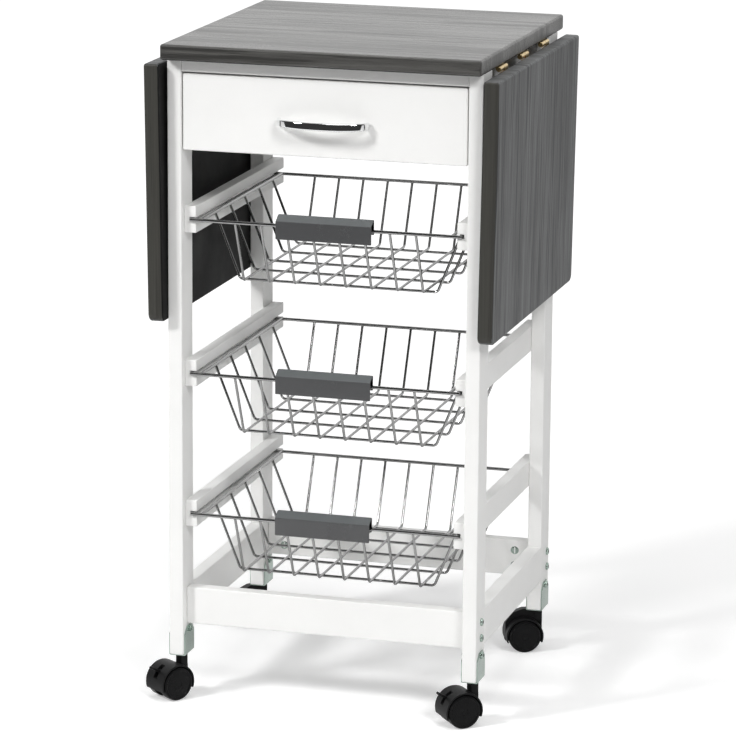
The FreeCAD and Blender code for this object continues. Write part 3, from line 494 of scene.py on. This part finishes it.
def moulding(name, section, front, back):
    """A solid with the same (x, z) section all along, from its front to its back."""
    return drawn_solid(name, [(x, front, z) for x, z in section], (0, back - front, 0))


LEVELS = ("upper", "middle", "lower")
GROOVE_DEEP = 0.008
GROOVE_TALL = 0.0048
STRIP_ROUND = 0.001
for level in LEVELS:
    for side, sign in SIDES:
        node = "runner_%s_%s" % (level, side)
        low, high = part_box(node)
        outer, inner = (high.x, low.x) if sign > 0 else (low.x, high.x)
        bed = inner + sign * GROOVE_DEEP
        groove_foot = (low.z + high.z - GROOVE_TALL) / 2
        groove_head = groove_foot + GROOVE_TALL
        section = ((outer, low.z), (outer, high.z), (inner, high.z), (inner, groove_head),
                   (bed, groove_head), (bed, groove_foot), (inner, groove_foot), (inner, low.z))
        runner = moulding(node + "_rail", section, low.y, high.y)
        round_edges(runner, STRIP_ROUND, 3)
        fit(runner, white_paint, "white_boards", "frame", node)
for side, _ in SIDES:
    strip = sawn_board("drawer_strip_" + side, *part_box("drawer_runner_" + side))
    round_edges(strip, STRIP_ROUND, 2)
    fit(strip, white_paint, "white_boards", "frame", "drawer_runner_" + side)

# ------------------------------------------------------------------ drawer
# A painted front with eased edges covers a plain box: two grooved sides, a back and a thin
# bottom that is let into grooves of the sides.
DRAWER_SLOT = 0.0044
DRAWER_SEAT = 0.005
STRIP_GROOVE_FOOT = 0.0291
STRIP_GROOVE_HEAD = 0.0423
BOX_ROUND = 0.0005
bottom_low, bottom_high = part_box("drawer_bottom")
for node, width in (("drawer_front", BOARD_ROUND), ("drawer_back", BOX_ROUND), ("drawer_bottom", BOX_ROUND)):
    board = sawn_board(node + "_panel", *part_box(node))
    round_edges(board, width, 3)
    fit(board, white_paint, "white_boards", "drawer", node)
for side, sign in SIDES:
    low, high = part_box("drawer_side_" + side)
    outer, inner = (high.x, low.x) if sign > 0 else (low.x, high.x)
    slot_foot = (bottom_low.z + bottom_high.z - DRAWER_SLOT) / 2
    slot_head = slot_foot + DRAWER_SLOT
    run_foot, run_head = low.z + STRIP_GROOVE_FOOT, low.z + STRIP_GROOVE_HEAD
    run, seat = outer - sign * DRAWER_SEAT, inner + sign * DRAWER_SEAT
    section = ((outer, low.z), (outer, run_foot), (run, run_foot), (run, run_head), (outer, run_head),
               (outer, high.z), (inner, high.z), (inner, slot_head), (seat, slot_head), (seat, slot_foot),
               (inner, slot_foot), (inner, low.z))
    board = moulding("drawer_side_board_" + side, section, low.y, high.y)
    round_edges(board, BOX_ROUND, 2)
    fit(board, white_paint, "white_boards", "drawer", "drawer_side_" + side)

# ------------------------------------------------------------------ drawer handle
# A polished bow of flat bar with rounded edges. It springs from the drawer's front in a
# shallow arch and is screwed on from behind.
chrome = marked_material("polished_chrome", (0.88, 0.885, 0.89), (0.80, 0.805, 0.81), (0.03, 0.07),
                         500, 0.01, Metallic=1.0)
handle_low, handle_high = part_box("drawer_handle")
BAR_THICK = 0.005
BAR_ROUND = 0.0018
ARCH_SQUARENESS = 2.2
ARCH_STEPS = 32


def arch(shrink):
    """A squared half ellipse from the right foot to the left one, drawn in from the handle's box."""
    half_wide, out = handle_high.x - shrink, handle_high.y - handle_low.y - shrink
    points = []
    for i in range(ARCH_STEPS + 1):
        turn = math.pi * i / ARCH_STEPS
        across, ahead_by = math.cos(turn), math.sin(turn)
        x = math.copysign(abs(across) ** (2 / ARCH_SQUARENESS), across) * half_wide
        points.append((x, handle_high.y - ahead_by ** (2 / ARCH_SQUARENESS) * out, handle_low.z))
    return points


handle = drawn_solid("bow_handle", arch(0) + arch(BAR_THICK)[::-1], (0, 0, handle_high.z - handle_low.z))
round_edges(handle, BAR_ROUND, 5)
fit(handle, chrome, "chrome_handle", "drawer", "drawer_handle")

# ------------------------------------------------------------------ wire baskets
# Each basket is bright steel wire, welded: a front and a rear rim wire that reach past the
# slide wires, two slide wires that run in the grooves, two rim wires inside them, and bent
# wires that cross under each other as walls and floor.
RIM_GAUGE = 0.004
WIRE_GAUGE = 0.0032
SLIDE_HALF = 0.1585
RIM_HALF = 0.148
BASKET_DEEP = 0.308
BASKET_DROP = 0.0733
WALL_LEAN = 0.033
SIDE_LEAN = 0.030
LONG_WIRES, LONG_PITCH = 8, 0.0305
CROSS_WIRES, CROSS_PITCH = 5, 0.054
WIRE_BEND = 0.0035
WELD_LEVEL = -0.0012


def bent_wire(name, points, gauge, bend=0.0):
    """A round wire through points, with its bends rounded and its ends closed."""
    wire = draw_line(name, points)
    if bend:
        bpy.ops.mesh.select_all(action="DESELECT")
        bpy.ops.object.mode_set(mode="OBJECT")
        for vertex in wire.data.vertices:
            vertex.select = all((vertex.co - Vector(end)).length > 1e-5 for end in (points[0], points[-1]))
        bpy.ops.object.mode_set(mode="EDIT")
        bpy.ops.mesh.bevel(offset=bend, segments=6, affect="VERTICES")
    bpy.ops.object.mode_set(mode="OBJECT")
    bpy.ops.object.convert(target="CURVE")
    wire.data.bevel_depth = gauge / 2
    wire.data.bevel_resolution = 3
    wire.data.use_fill_caps = True
    bpy.ops.object.convert(target="MESH")
    bpy.ops.object.mode_set(mode="EDIT")
    bpy.ops.mesh.select_all(action="SELECT")
    bpy.ops.mesh.remove_doubles(threshold=TOUCH)
    bpy.ops.mesh.normals_make_consistent(inside=False)
    bpy.ops.object.mode_set(mode="OBJECT")
    bpy.ops.object.shade_smooth_by_angle(angle=SHARP)
    return wire


def row_of(piece, count, step):
    """Repeat a piece in a row."""
    bpy.context.view_layer.objects.active = piece
    row = piece.modifiers.new("row", "ARRAY")
    row.count = count
    row.use_relative_offset = False
    row.use_constant_offset = True
    row.constant_offset_displace = step
    bpy.ops.object.modifier_apply(modifier=row.name)
    return piece


def joined(name, pieces):
    """Join pieces into one."""
    bpy.ops.object.select_all(action="DESELECT")
    for piece in pieces:
        piece.select_set(True)
    bpy.context.view_layer.objects.active = pieces[0]
    bpy.ops.object.join()
    pieces[0].name = name
    return pieces[0]


def placed(piece, name, matrix):
    """A copy of a piece with its own mesh, set down at its place."""
    twin = piece.copy()
    twin.data = piece.data.copy()
    twin.name = name
    scene.collection.objects.link(twin)
    set_down(twin, matrix)
    return twin


def discard(*models):
    """Take away the models that the placed pieces were copied from."""
    for model in models:
        bpy.data.objects.remove(model)


bright_wire = marked_material("bright_wire", (0.38, 0.38, 0.38), (0.27, 0.27, 0.27), (0.08, 0.2), 500, 0.02,
                              Metallic=1.0)
tip = SLIDE_HALF + RIM_GAUGE / 2
wires = []
for y in (0, BASKET_DEEP):
    wires.append(bent_wire("rim_wire", [(-tip, y, 0), (tip, y, 0)], RIM_GAUGE))
for x in (-SLIDE_HALF, -RIM_HALF, RIM_HALF, SLIDE_HALF):
    wires.append(bent_wire("slide_wire", [(x, 0, 0), (x, BASKET_DEEP, 0)], RIM_GAUGE))
first = -LONG_PITCH * (LONG_WIRES - 1) / 2
lengthwise = bent_wire("lengthwise_wire", [
    (first, 0, WELD_LEVEL), (first, WALL_LEAN, -BASKET_DROP),
    (first, BASKET_DEEP - WALL_LEAN, -BASKET_DROP), (first, BASKET_DEEP, WELD_LEVEL)], WIRE_GAUGE, WIRE_BEND)
wires.append(row_of(lengthwise, LONG_WIRES, (LONG_PITCH, 0, 0)))
floor_half = RIM_HALF - SIDE_LEAN
under = -BASKET_DROP - WIRE_GAUGE
crosswise = bent_wire("crosswise_wire", [
    (-RIM_HALF, CROSS_PITCH, WELD_LEVEL), (-floor_half, CROSS_PITCH, under),
    (floor_half, CROSS_PITCH, under), (RIM_HALF, CROSS_PITCH, WELD_LEVEL)], WIRE_GAUGE, WIRE_BEND)
wires.append(row_of(crosswise, CROSS_WIRES, (0, CROSS_PITCH, 0)))
basket = joined("wire_basket", wires)
basket_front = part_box("basket_upper")[0].y + RIM_GAUGE / 2
basket_places = {}
for level in LEVELS:
    low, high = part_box("runner_%s_left" % level)
    basket_places[level] = Matrix.Translation((0, basket_front, (low.z + high.z) / 2))
    wires_here = placed(basket, "wire_basket_" + level, basket_places[level])
    fit(wires_here, bright_wire, "chrome_wire", "basket_" + level, "basket_" + level)
discard(basket)

# ------------------------------------------------------------------ basket grips
# A moulded dark grey channel, open below, is clipped over the middle of each front wire. Its
# roof slopes up to the back and is painted a tone lighter, a painted sheen for the light that
# the slope catches. Its end walls are notched for the wire.
grey_plastic = marked_material("grey_plastic", (0.070, 0.071, 0.073), (0.061, 0.062, 0.064), (0.22, 0.30),
                               1400, 0.08)
# Painted sheen: the roof's plastic is a tone lighter than the rest, for the light its slope catches.
painted_sheen_roof_plastic = marked_material("grip_roof_painted_sheen", (0.125, 0.134, 0.137), (0.108, 0.117, 0.120),
                               (0.18, 0.26), 1400, 0.08)
GRIP_LONG = 0.113
GRIP_WALL = 0.002
GRIP_FACE, GRIP_TAIL = -0.007, 0.006
GRIP_FOOT, GRIP_TAIL_FOOT = -0.015, -0.005
GRIP_BROW, GRIP_CREST = 0.006, 0.0125
GRIP_ROUND = 0.0009
END_INSET, END_ROUND = 0.0006, 0.0003
END_PLAY = 0.001
END_FOOT = -0.003
NOTCH_HALF, NOTCH_ROOF_HALF = 0.0023, 0.0012
NOTCH_SHOULDER, NOTCH_ROOF = 0.0015, 0.0023
face_back, tail_front = GRIP_FACE + GRIP_WALL, GRIP_TAIL - GRIP_WALL
section = ((GRIP_FACE, GRIP_FOOT), (face_back, GRIP_FOOT), (face_back, GRIP_BROW - GRIP_WALL),
           (tail_front, GRIP_CREST - GRIP_WALL), (tail_front, GRIP_TAIL_FOOT), (GRIP_TAIL, GRIP_TAIL_FOOT),
           (GRIP_TAIL, GRIP_CREST), (GRIP_FACE, GRIP_BROW))
channel = drawn_solid("grip", [(-GRIP_LONG / 2, y, z) for y, z in section], (GRIP_LONG, 0, 0))
round_edges(channel, GRIP_ROUND, 3)
end_face, end_tail = GRIP_FACE + END_PLAY, GRIP_TAIL - END_PLAY
end_wall = ((end_face, END_FOOT), (-NOTCH_HALF, END_FOOT), (-NOTCH_HALF, NOTCH_SHOULDER),
            (-NOTCH_ROOF_HALF, NOTCH_ROOF), (NOTCH_ROOF_HALF, NOTCH_ROOF), (NOTCH_HALF, NOTCH_SHOULDER),
            (NOTCH_HALF, END_FOOT), (end_tail, END_FOOT), (end_tail, GRIP_CREST - END_PLAY),
            (end_face, GRIP_BROW - END_PLAY))
parts = [channel]
for x in (-GRIP_LONG / 2 + END_INSET, GRIP_LONG / 2 - END_INSET - GRIP_WALL):
    wall = drawn_solid("grip_end", [(x, y, z) for y, z in end_wall], (GRIP_WALL, 0, 0))
    round_edges(wall, END_ROUND, 2)
    parts.append(wall)
grip = joined("grip", parts)
for level, place in basket_places.items():
    grip_here = placed(grip, "moulded_grip_" + level, place)
    fit(grip_here, grey_plastic, "grey_plastic", "basket_" + level, "grip_" + level)
    # Faces that point up get the lighter painted sheen.
    face_finish(grip_here, painted_sheen_roof_plastic, lambda normal: normal.z > MOSTLY)
discard(grip)


# ------------------------------------------------------------------ bolts and barrel nuts
# Zinc-plated bolts with a hexagon socket hold the cross rails, two at each end. They screw
# into slotted barrel nuts that show as discs on the rails' inner faces.
SHARP_TURNED = math.radians(35)
TURN_STEPS = 40


def turned(name, profile):
    """A solid turned about +X from a profile of (distance along, radius) points."""
    solid = draw_line(name, [(x, 0, radius) for x, radius in profile])
    bpy.ops.mesh.spin(steps=TURN_STEPS, angle=2 * math.pi, center=(0, 0, 0), axis=(1, 0, 0))
    bpy.ops.mesh.select_all(action="SELECT")
    bpy.ops.mesh.remove_doubles(threshold=TOUCH)
    bpy.ops.mesh.normals_make_consistent(inside=False)
    bpy.ops.object.mode_set(mode="OBJECT")
    bpy.ops.object.shade_smooth_by_angle(angle=SHARP_TURNED)
    return solid


def round_bar(sides, radius, long, middle, turn=(0, math.pi / 2, 0)):
    """A bar with a many-sided section, along X unless it's turned another way."""
    bpy.ops.mesh.primitive_cylinder_add(vertices=sides, radius=radius, depth=long, location=middle,
                                        rotation=turn)
    return bpy.context.object


def cut_with(piece, cutter):
    """Cut one solid out of another, and remove the cutter."""
    bpy.ops.object.select_all(action="DESELECT")
    piece.select_set(True)
    bpy.context.view_layer.objects.active = piece
    cut = piece.modifiers.new("cut", "BOOLEAN")
    cut.operation = "DIFFERENCE"
    cut.object = cutter
    bpy.ops.object.modifier_apply(modifier=cut.name)
    bpy.data.objects.remove(cutter)
    bpy.ops.object.shade_smooth_by_angle(angle=SHARP_TURNED)


def bolt_head(wide, tall):
    """A bolt head that stands on x = 0 and faces +X, with a hexagon socket."""
    r = wide / 2
    head = turned("bolt_head", [(-0.0005, 0), (-0.0005, r), (tall * 0.55, r), (tall * 0.82, r * 0.93),
                                (tall * 0.96, r * 0.8), (tall, r * 0.6), (tall, 0)])
    cut_with(head, round_bar(6, r * 0.5, tall * 1.5, (tall, 0, 0)))
    return head


def facing(sign):
    """The turn of a piece that faces +X, so that it faces +X (1) or -X (-1)."""
    return Matrix.Rotation(0 if sign > 0 else math.pi, 4, "Z")


def quarter_turn(sign):
    """The turn of a piece that faces +X, so that it faces +Y (1) or -Y (-1)."""
    return Matrix.Rotation(sign * math.pi / 2, 4, "Z")


zinc = marked_material("zinc_plate", (0.42, 0.50, 0.455), (0.32, 0.39, 0.35), (0.16, 0.30), 420, 0.06,
                       Metallic=1.0)
BOLT_SPREAD = 0.019
BOLT_HEAD_WIDE, BOLT_HEAD_TALL = 0.009, 0.0025
NUT_INSET = 0.021
NUT_WIDE = 0.010
NUT_CROWN = 0.0002
NUT_SLOT = Vector((0.002, 0.0013, NUT_WIDE * 0.8))
leg_low, leg_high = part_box("leg_front_right")
head = bolt_head(BOLT_HEAD_WIDE, BOLT_HEAD_TALL)
r = NUT_WIDE / 2
nut = turned("barrel_nut", [(-0.002, 0), (-0.002, r), (0, r), (NUT_CROWN, r * 0.94), (NUT_CROWN, 0)])
bpy.ops.mesh.primitive_cube_add(size=1, location=(0, 0, 0), scale=NUT_SLOT)
cut_with(nut, bpy.context.object)
heads, nuts = [], []
for end, inward in (("front", 1), ("rear", -1)):
    low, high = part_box("lower_rail_" + end)
    middle = (low + high) / 2
    inner = high.y if inward > 0 else low.y
    for rise in (-BOLT_SPREAD / 2, BOLT_SPREAD / 2):
        for _, sign in SIDES:
            level = middle.z + rise
            place = Matrix.Translation((sign * leg_high.x, middle.y, level))
            heads.append(placed(head, "bolt_head", place @ facing(sign)))
            place = Matrix.Translation((sign * (leg_low.x - NUT_INSET), inner, level))
            nuts.append(placed(nut, "barrel_nut", place @ quarter_turn(inward)))
discard(head, nut)
fit(joined("rail_bolt_heads", heads), zinc, "zinc_steel", "frame", "rail_bolts")
fit(joined("slotted_barrel_nuts", nuts), zinc, "zinc_steel", "frame", "barrel_nuts")

# ------------------------------------------------------------------ caster brackets
# A strip of zinc-plated steel is bent round the foot of each leg. It holds the caster's stem
# and is fixed by one bolt with a nut. Its upper corners are cut off.
SHEET = 0.0015
SHEET_BEND = 0.0014
SHEET_ROUND = 0.0002
BRACKET_WIDE = 0.032
BRACKET_CORNER = 0.009
BRACKET_HEAD_WIDE, BRACKET_HEAD_TALL = 0.0085, 0.0026
NUT_BORE, NUT_BORE_DEEP = 0.0052, 0.002
NUT_ROUND = 0.0003
BOLT_DROP = 0.0045
bracket_low, bracket_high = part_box("caster_brackets")
rise = bracket_high.z - bracket_low.z
half = (leg_high.x - leg_low.x) / 2
section = ((-half - SHEET, rise), (-half - SHEET, 0), (half + SHEET, 0), (half + SHEET, rise), (half, rise),
           (half, SHEET), (-half, SHEET), (-half, rise))
bracket = moulding("bracket", section, -BRACKET_WIDE / 2, BRACKET_WIDE / 2)
bevel_edges(bracket, BRACKET_CORNER, 1,
            lambda a, b: min(a.z, b.z) > rise - TOUCH and abs(a.x - b.x) > SHEET / 2)
bevel_edges(bracket, SHEET_BEND, 4, lambda a, b: max(a.z, b.z) < TOUCH and abs(a.y - b.y) > BRACKET_WIDE / 2)
round_edges(bracket, SHEET_ROUND, 2)
head = bolt_head(BRACKET_HEAD_WIDE, BRACKET_HEAD_TALL)
hex_nut = round_bar(6, BRACKET_HEAD_WIDE / 2, BRACKET_HEAD_TALL, (BRACKET_HEAD_TALL / 2, 0, 0))
bpy.ops.object.transform_apply(location=True, rotation=True, scale=True)
cut_with(hex_nut, round_bar(24, NUT_BORE / 2, NUT_BORE_DEEP, (BRACKET_HEAD_TALL, 0, 0)))
round_edges(hex_nut, NUT_ROUND, 2)
brackets, bolts = [], []
for end, side in corners:
    low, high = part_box("leg_%s_%s" % (end, side))
    middle = (low + high) / 2
    outward = 1 if side == "right" else -1
    brackets.append(placed(bracket, "bracket", Matrix.Translation((middle.x, middle.y, bracket_low.z))))
    for piece, way in ((head, outward), (hex_nut, -outward)):
        place = Matrix.Translation((middle.x + way * (half + SHEET), middle.y, bracket_high.z - BOLT_DROP))
        bolts.append(placed(piece, "bracket_bolt", place @ facing(way)))
discard(bracket, head, hex_nut)
fit(joined("bent_brackets", brackets), zinc, "zinc_steel", "frame", "caster_brackets")
fit(joined("bracket_bolt_heads", bolts), zinc, "zinc_steel", "frame", "bracket_bolts")
stems = frame["nodes"]["caster_stems"]
stems.data.materials.clear()
stems.data.materials.append(zinc)

# ------------------------------------------------------------------ flap hinges
# Three brass-plated flap hinges join each leaf to the underside of the worktop. Every hinge
# has two plates with a rolled knuckle, a pin, and countersunk screws.
brass = marked_material("brass_plate", (0.72, 0.55, 0.27), (0.58, 0.43, 0.2), (0.2, 0.36), 500, 0.05,
                        Metallic=1.0)
KNUCKLE_WIDE = 0.006
KNUCKLE_LONG = 0.016
KNUCKLE_GAP = 0.0003
PLATE_THICK = 0.0012
PLATE_CORNER = 0.004
PLATE_REACH = 0.016
PLATE_DROP = 0.026
HINGE_PITCH = 0.096
SCREW_WIDE = 0.006
SCREW_CROWN = 0.0003


def screw_head(wide):
    """A countersunk screw head with a cross recess, that lies on x = 0 and faces +X."""
    r = wide / 2
    head = turned("screw_head", [(-0.001, 0), (-0.001, r * 0.5), (0, r), (0.0002, r * 0.9),
                                 (SCREW_CROWN, 0)])
    for turn in (0, math.pi / 2):
        bpy.ops.mesh.primitive_cube_add(size=1, location=(SCREW_CROWN, 0, 0), rotation=(turn, 0, 0),
                                        scale=(0.0012, wide * 0.14, wide * 0.62))
        cut_with(head, bpy.context.object)
    return head


def hinge_plate(reach, knuckle_from):
    """Half a flap hinge about the Y axis: a plate from the knuckle towards -Z, on its +X side."""
    r = KNUCKLE_WIDE / 2
    inner = r - PLATE_THICK
    tongue = sawn_board("plate", Vector((inner, -KNUCKLE_LONG, -reach)),
                        Vector((r, KNUCKLE_LONG, -r - KNUCKLE_GAP)))
    bevel_edges(tongue, PLATE_CORNER, 5,
                lambda a, b: max(a.z, b.z) < -reach + TOUCH and abs(a.x - b.x) > PLATE_THICK / 2)
    end = KNUCKLE_LONG - KNUCKLE_GAP
    roll = turned("knuckle", [(0, 0), (0, r * 0.9), (0.0004, r), (end - 0.0004, r), (end, r * 0.9),
                              (end, 0)])
    set_down(roll, Matrix.Translation((0, knuckle_from, 0)) @ quarter_turn(1))
    neck = sawn_board("neck", Vector((inner, knuckle_from, -reach / 2)), Vector((r, knuckle_from + end, 0)))
    pieces = [tongue, roll, neck]
    for y in (-KNUCKLE_LONG * 0.6, KNUCKLE_LONG * 0.6):
        screw = screw_head(SCREW_WIDE)
        set_down(screw, Matrix.Translation((inner, y, -reach * 0.66)) @ facing(-1))
        pieces.append(screw)
    return joined("hinge_plate", pieces)


top_plate = hinge_plate(PLATE_REACH, 0)
leaf_plate = hinge_plate(PLATE_DROP, KNUCKLE_GAP)
flat = Matrix.Rotation(-math.pi / 2, 4, "Y")
top_plates = []
for side, sign in SIDES:
    axis = Vector(joints["leaf_%s_hinge" % side]["pos_m"])
    leaf_plates = []
    for i in (-1, 0, 1):
        along = Vector((0, HINGE_PITCH * i, 0))
        place = Matrix.Translation(axis + along) @ facing(-sign) @ flat
        top_plates.append(placed(top_plate, "top_plate", place))
        leaf_plates.append(placed(leaf_plate, "leaf_plate", hanging(side) @ Matrix.Translation(along)))
    leaf_halves = joined("hinge_leaf_halves_" + side, leaf_plates)
    fit(leaf_halves, brass, "brass_hinges", "leaf_" + side, "hinge_leaf_plates_" + side)
fit(joined("hinge_top_halves", top_plates), brass, "brass_hinges", "frame", "hinge_top_plates")
discard(top_plate, leaf_plate)

# ------------------------------------------------------------------ casters
# Twin-wheel swivel casters of black plastic, about 40 mm across. A drum-shaped hood covers
# both wheels and carries a stem block. The front ones have a brake lever behind the stem, and
# the rear ones a raised ridge. They're drawn about the swivel axis with the stem side at +X.
black_plastic = marked_material("black_plastic", (0.0085, 0.0085, 0.0088), (0.006, 0.006, 0.0063),
                                (0.36, 0.46), 1500, 0.2, Specular_IOR_Level=0.14)
wheel_plastic = marked_material("wheel_plastic", (0.0055, 0.0055, 0.0058), (0.004, 0.004, 0.0042),
                                (0.2, 0.3), 900, 0.05, Specular_IOR_Level=0.12)
AXLE_X, AXLE_Z = -0.017, 0.020
AXLE_HALF, AXLE_R = 0.015, 0.003
WHEEL_R = 0.020
WHEEL_INNER, WHEEL_OUTER = 0.0057, 0.0177
WHEEL_DISH, HUB_DISH = 0.0007, 0.0005
HOOD_R = 0.0228
HOOD_WALL = 0.0019
HOOD_WIDE = 0.034
HOOD_FOOT = 0.0125
WEB_THICK = 0.0106
BLOCK_WIDE = 0.011
BLOCK_CORNER = 0.002
SHOULDER = 0.038
ROOF = 0.0521
RIDGE = ((BLOCK_WIDE / 2, ROOF), (-0.0185, ROOF), (-0.0305, 0.0481), (AXLE_X - HOOD_R, 0.0361),
         (AXLE_X - HOOD_R, HOOD_FOOT), (AXLE_X, HOOD_FOOT), (BLOCK_WIDE / 2, AXLE_Z))
PIVOT_X, PIVOT_Z = -0.030, 0.033
SLOT_LOW_FRONT = Vector((PIVOT_X + 0.004, 0, PIVOT_Z - 0.006))
SLOT_SIZE = Vector((0.020, 0.0066, 0.020))
PEDAL_LONG = 0.016
PEDAL_WIDE = 0.0085
PEDAL_BAR = 0.0043
PEDAL_THICK = 0.003
PEDAL_TILT = math.radians(-150)
ARM_HALF, PIVOT_R = 0.003, 0.003
DRUM_ROUND, BLOCK_ROUND, NECK_ROUND, RIDGE_ROUND = 0.0005, 0.0006, 0.0012, 0.0008
ARM_ROUND, PEDAL_ROUND = 0.0006, 0.0009
NECK_SINK = 0.001
axle_place = Matrix.Translation((AXLE_X, 0, AXLE_Z))


def hood_drum(with_slot):
    """The drum cover with its web, open to both sides and below, and the brake lever's slot."""
    bpy.ops.object.select_all(action="DESELECT")
    drum = round_bar(72, HOOD_R, HOOD_WIDE, (AXLE_X, 0, AXLE_Z), (math.pi / 2, 0, 0))
    bpy.ops.object.transform_apply(location=True, rotation=True, scale=True)
    bpy.ops.object.mode_set(mode="EDIT")
    bpy.ops.mesh.select_mode(type="FACE")
    for sign in (-1, 1):
        bpy.ops.mesh.select_all(action="DESELECT")
        bpy.ops.object.mode_set(mode="OBJECT")
        for polygon in drum.data.polygons:
            polygon.select = sign * polygon.center.y > HOOD_WIDE / 2 - TOUCH
        bpy.ops.object.mode_set(mode="EDIT")
        bpy.ops.mesh.inset(thickness=HOOD_WALL)
        bpy.ops.mesh.extrude_region_move(
            TRANSFORM_OT_translate={"value": (0, -sign * (HOOD_WIDE - WEB_THICK) / 2, 0)})
    bpy.ops.mesh.select_all(action="SELECT")
    bpy.ops.mesh.bisect(plane_co=(0, 0, HOOD_FOOT), plane_no=(0, 0, 1), clear_inner=True, use_fill=True)
    bpy.ops.mesh.select_all(action="SELECT")
    bpy.ops.mesh.normals_make_consistent(inside=False)
    bpy.ops.object.mode_set(mode="OBJECT")
    if with_slot:
        slot = SLOT_LOW_FRONT + Vector((-SLOT_SIZE.x / 2, 0, SLOT_SIZE.z / 2))
        bpy.ops.mesh.primitive_cube_add(size=1, location=slot, scale=SLOT_SIZE)
        cut_with(drum, bpy.context.object)
    round_edges(drum, DRUM_ROUND, 2)
    return drum


def stem_block():
    """The block that holds the stem, with round upright corners, and its neck on the web."""
    half, web_half = BLOCK_WIDE / 2, WEB_THICK / 2
    block = sawn_board("stem_block", Vector((-half, -half, SHOULDER)), Vector((half, half, ROOF)))
    bevel_edges(block, BLOCK_CORNER, 4, lambda a, b: abs(a.z - b.z) > half)
    round_edges(block, BLOCK_ROUND, 2)
    neck = sawn_board("stem_neck", Vector((-half, -web_half, AXLE_Z)),
                      Vector((half, web_half, SHOULDER + NECK_SINK)))
    round_edges(neck, NECK_ROUND, 3)
    return [block, neck]


def caster_hood(with_ridge):
    """A whole hood: drum, stem block and, without a brake, the ridge behind the stem."""
    pieces = [hood_drum(not with_ridge), *stem_block()]
    if with_ridge:
        ridge = moulding("ridge", RIDGE, -WEB_THICK / 2, WEB_THICK / 2)
        round_edges(ridge, RIDGE_ROUND, 3)
        pieces.append(ridge)
    return joined("hood", pieces)


def eased_rod(half, radius, ease_along, ease_in):
    """The profile of a rod with eased ends."""
    return [(-half, 0), (-half, radius - ease_in), (-half + ease_along, radius),
            (half - ease_along, radius), (half, radius - ease_in), (half, 0)]


def twin_wheels():
    """Two closed wheels with dished outer faces, on their axle."""
    r, out = WHEEL_R, WHEEL_OUTER
    rim = [(WHEEL_INNER, 0), (WHEEL_INNER, r - 0.0012), (WHEEL_INNER + 0.0012, r), (out - 0.002, r),
           (out - 0.0006, r - 0.0006), (out, r - 0.002), (out, r - 0.0032)]
    dish = [(out - WHEEL_DISH, r - 0.004), (out - WHEEL_DISH, r - 0.0055), (out - 0.0002, r * 0.6),
            (out, r * 0.3)]
    hub = [(out, 0.0042), (out - HUB_DISH, 0.0038), (out - HUB_DISH, 0)]
    pieces = []
    for way in (-1, 1):
        wheel = turned("wheel", rim + dish + hub)
        set_down(wheel, axle_place @ quarter_turn(way))
        pieces.append(wheel)
    pieces.append(turned("axle", eased_rod(AXLE_HALF, AXLE_R, 0.0008, 0.001)))
    set_down(pieces[-1], axle_place @ quarter_turn(1))
    return joined("twin_wheels", pieces)


def brake_lever():
    """The brake lever: a hub, an arm and a wider toe, drawn level and then tilted up and back."""
    half = PEDAL_THICK / 2
    arm = sawn_board("lever_arm", Vector((0, -ARM_HALF, -half)), Vector((PEDAL_LONG, ARM_HALF, half)))
    round_edges(arm, ARM_ROUND, 3)
    bar = sawn_board("lever_bar", Vector((PEDAL_LONG - PEDAL_BAR, -PEDAL_WIDE / 2, -half)),
                     Vector((PEDAL_LONG, PEDAL_WIDE / 2, half)))
    round_edges(bar, PEDAL_ROUND, 4)
    hub = turned("lever_hub", eased_rod(ARM_HALF, PIVOT_R, 0.0005, 0.0005))
    set_down(hub, quarter_turn(1))
    lever = joined("brake_lever", [arm, bar, hub])
    set_down(lever, Matrix.Translation((PIVOT_X, 0, PIVOT_Z)) @ Matrix.Rotation(PEDAL_TILT, 4, "Y"))
    return lever


front_hood, rear_hood, wheels, lever = caster_hood(False), caster_hood(True), twin_wheels(), brake_lever()
for end, side in corners:
    corner = end + "_" + side
    swivel = Vector(joints["caster_%s_swivel" % corner]["pos_m"])
    spin = Vector(joints["wheelset_%s_spin" % corner]["pos_m"])
    heading = math.atan2(swivel.y - spin.y, swivel.x - spin.x)
    stand = Matrix.Translation((swivel.x, swivel.y, 0)) @ Matrix.Rotation(heading, 4, "Z")
    hood = placed(front_hood if end == "front" else rear_hood, "hood_" + corner, stand)
    fit(hood, black_plastic, "black_plastic", "caster_" + corner, "caster_hood_" + corner)
    pair = placed(wheels, "twin_wheels_" + corner, stand)
    fit(pair, wheel_plastic, "black_wheels", "wheelset_" + corner, "wheels_" + corner)
    if end == "front":
        pedal = placed(lever, "brake_pedal_" + corner, stand)
        fit(pedal, black_plastic, "black_plastic", "brake_" + corner, "brake_lever_" + corner)
discard(front_hood, rear_hood, wheels, lever)
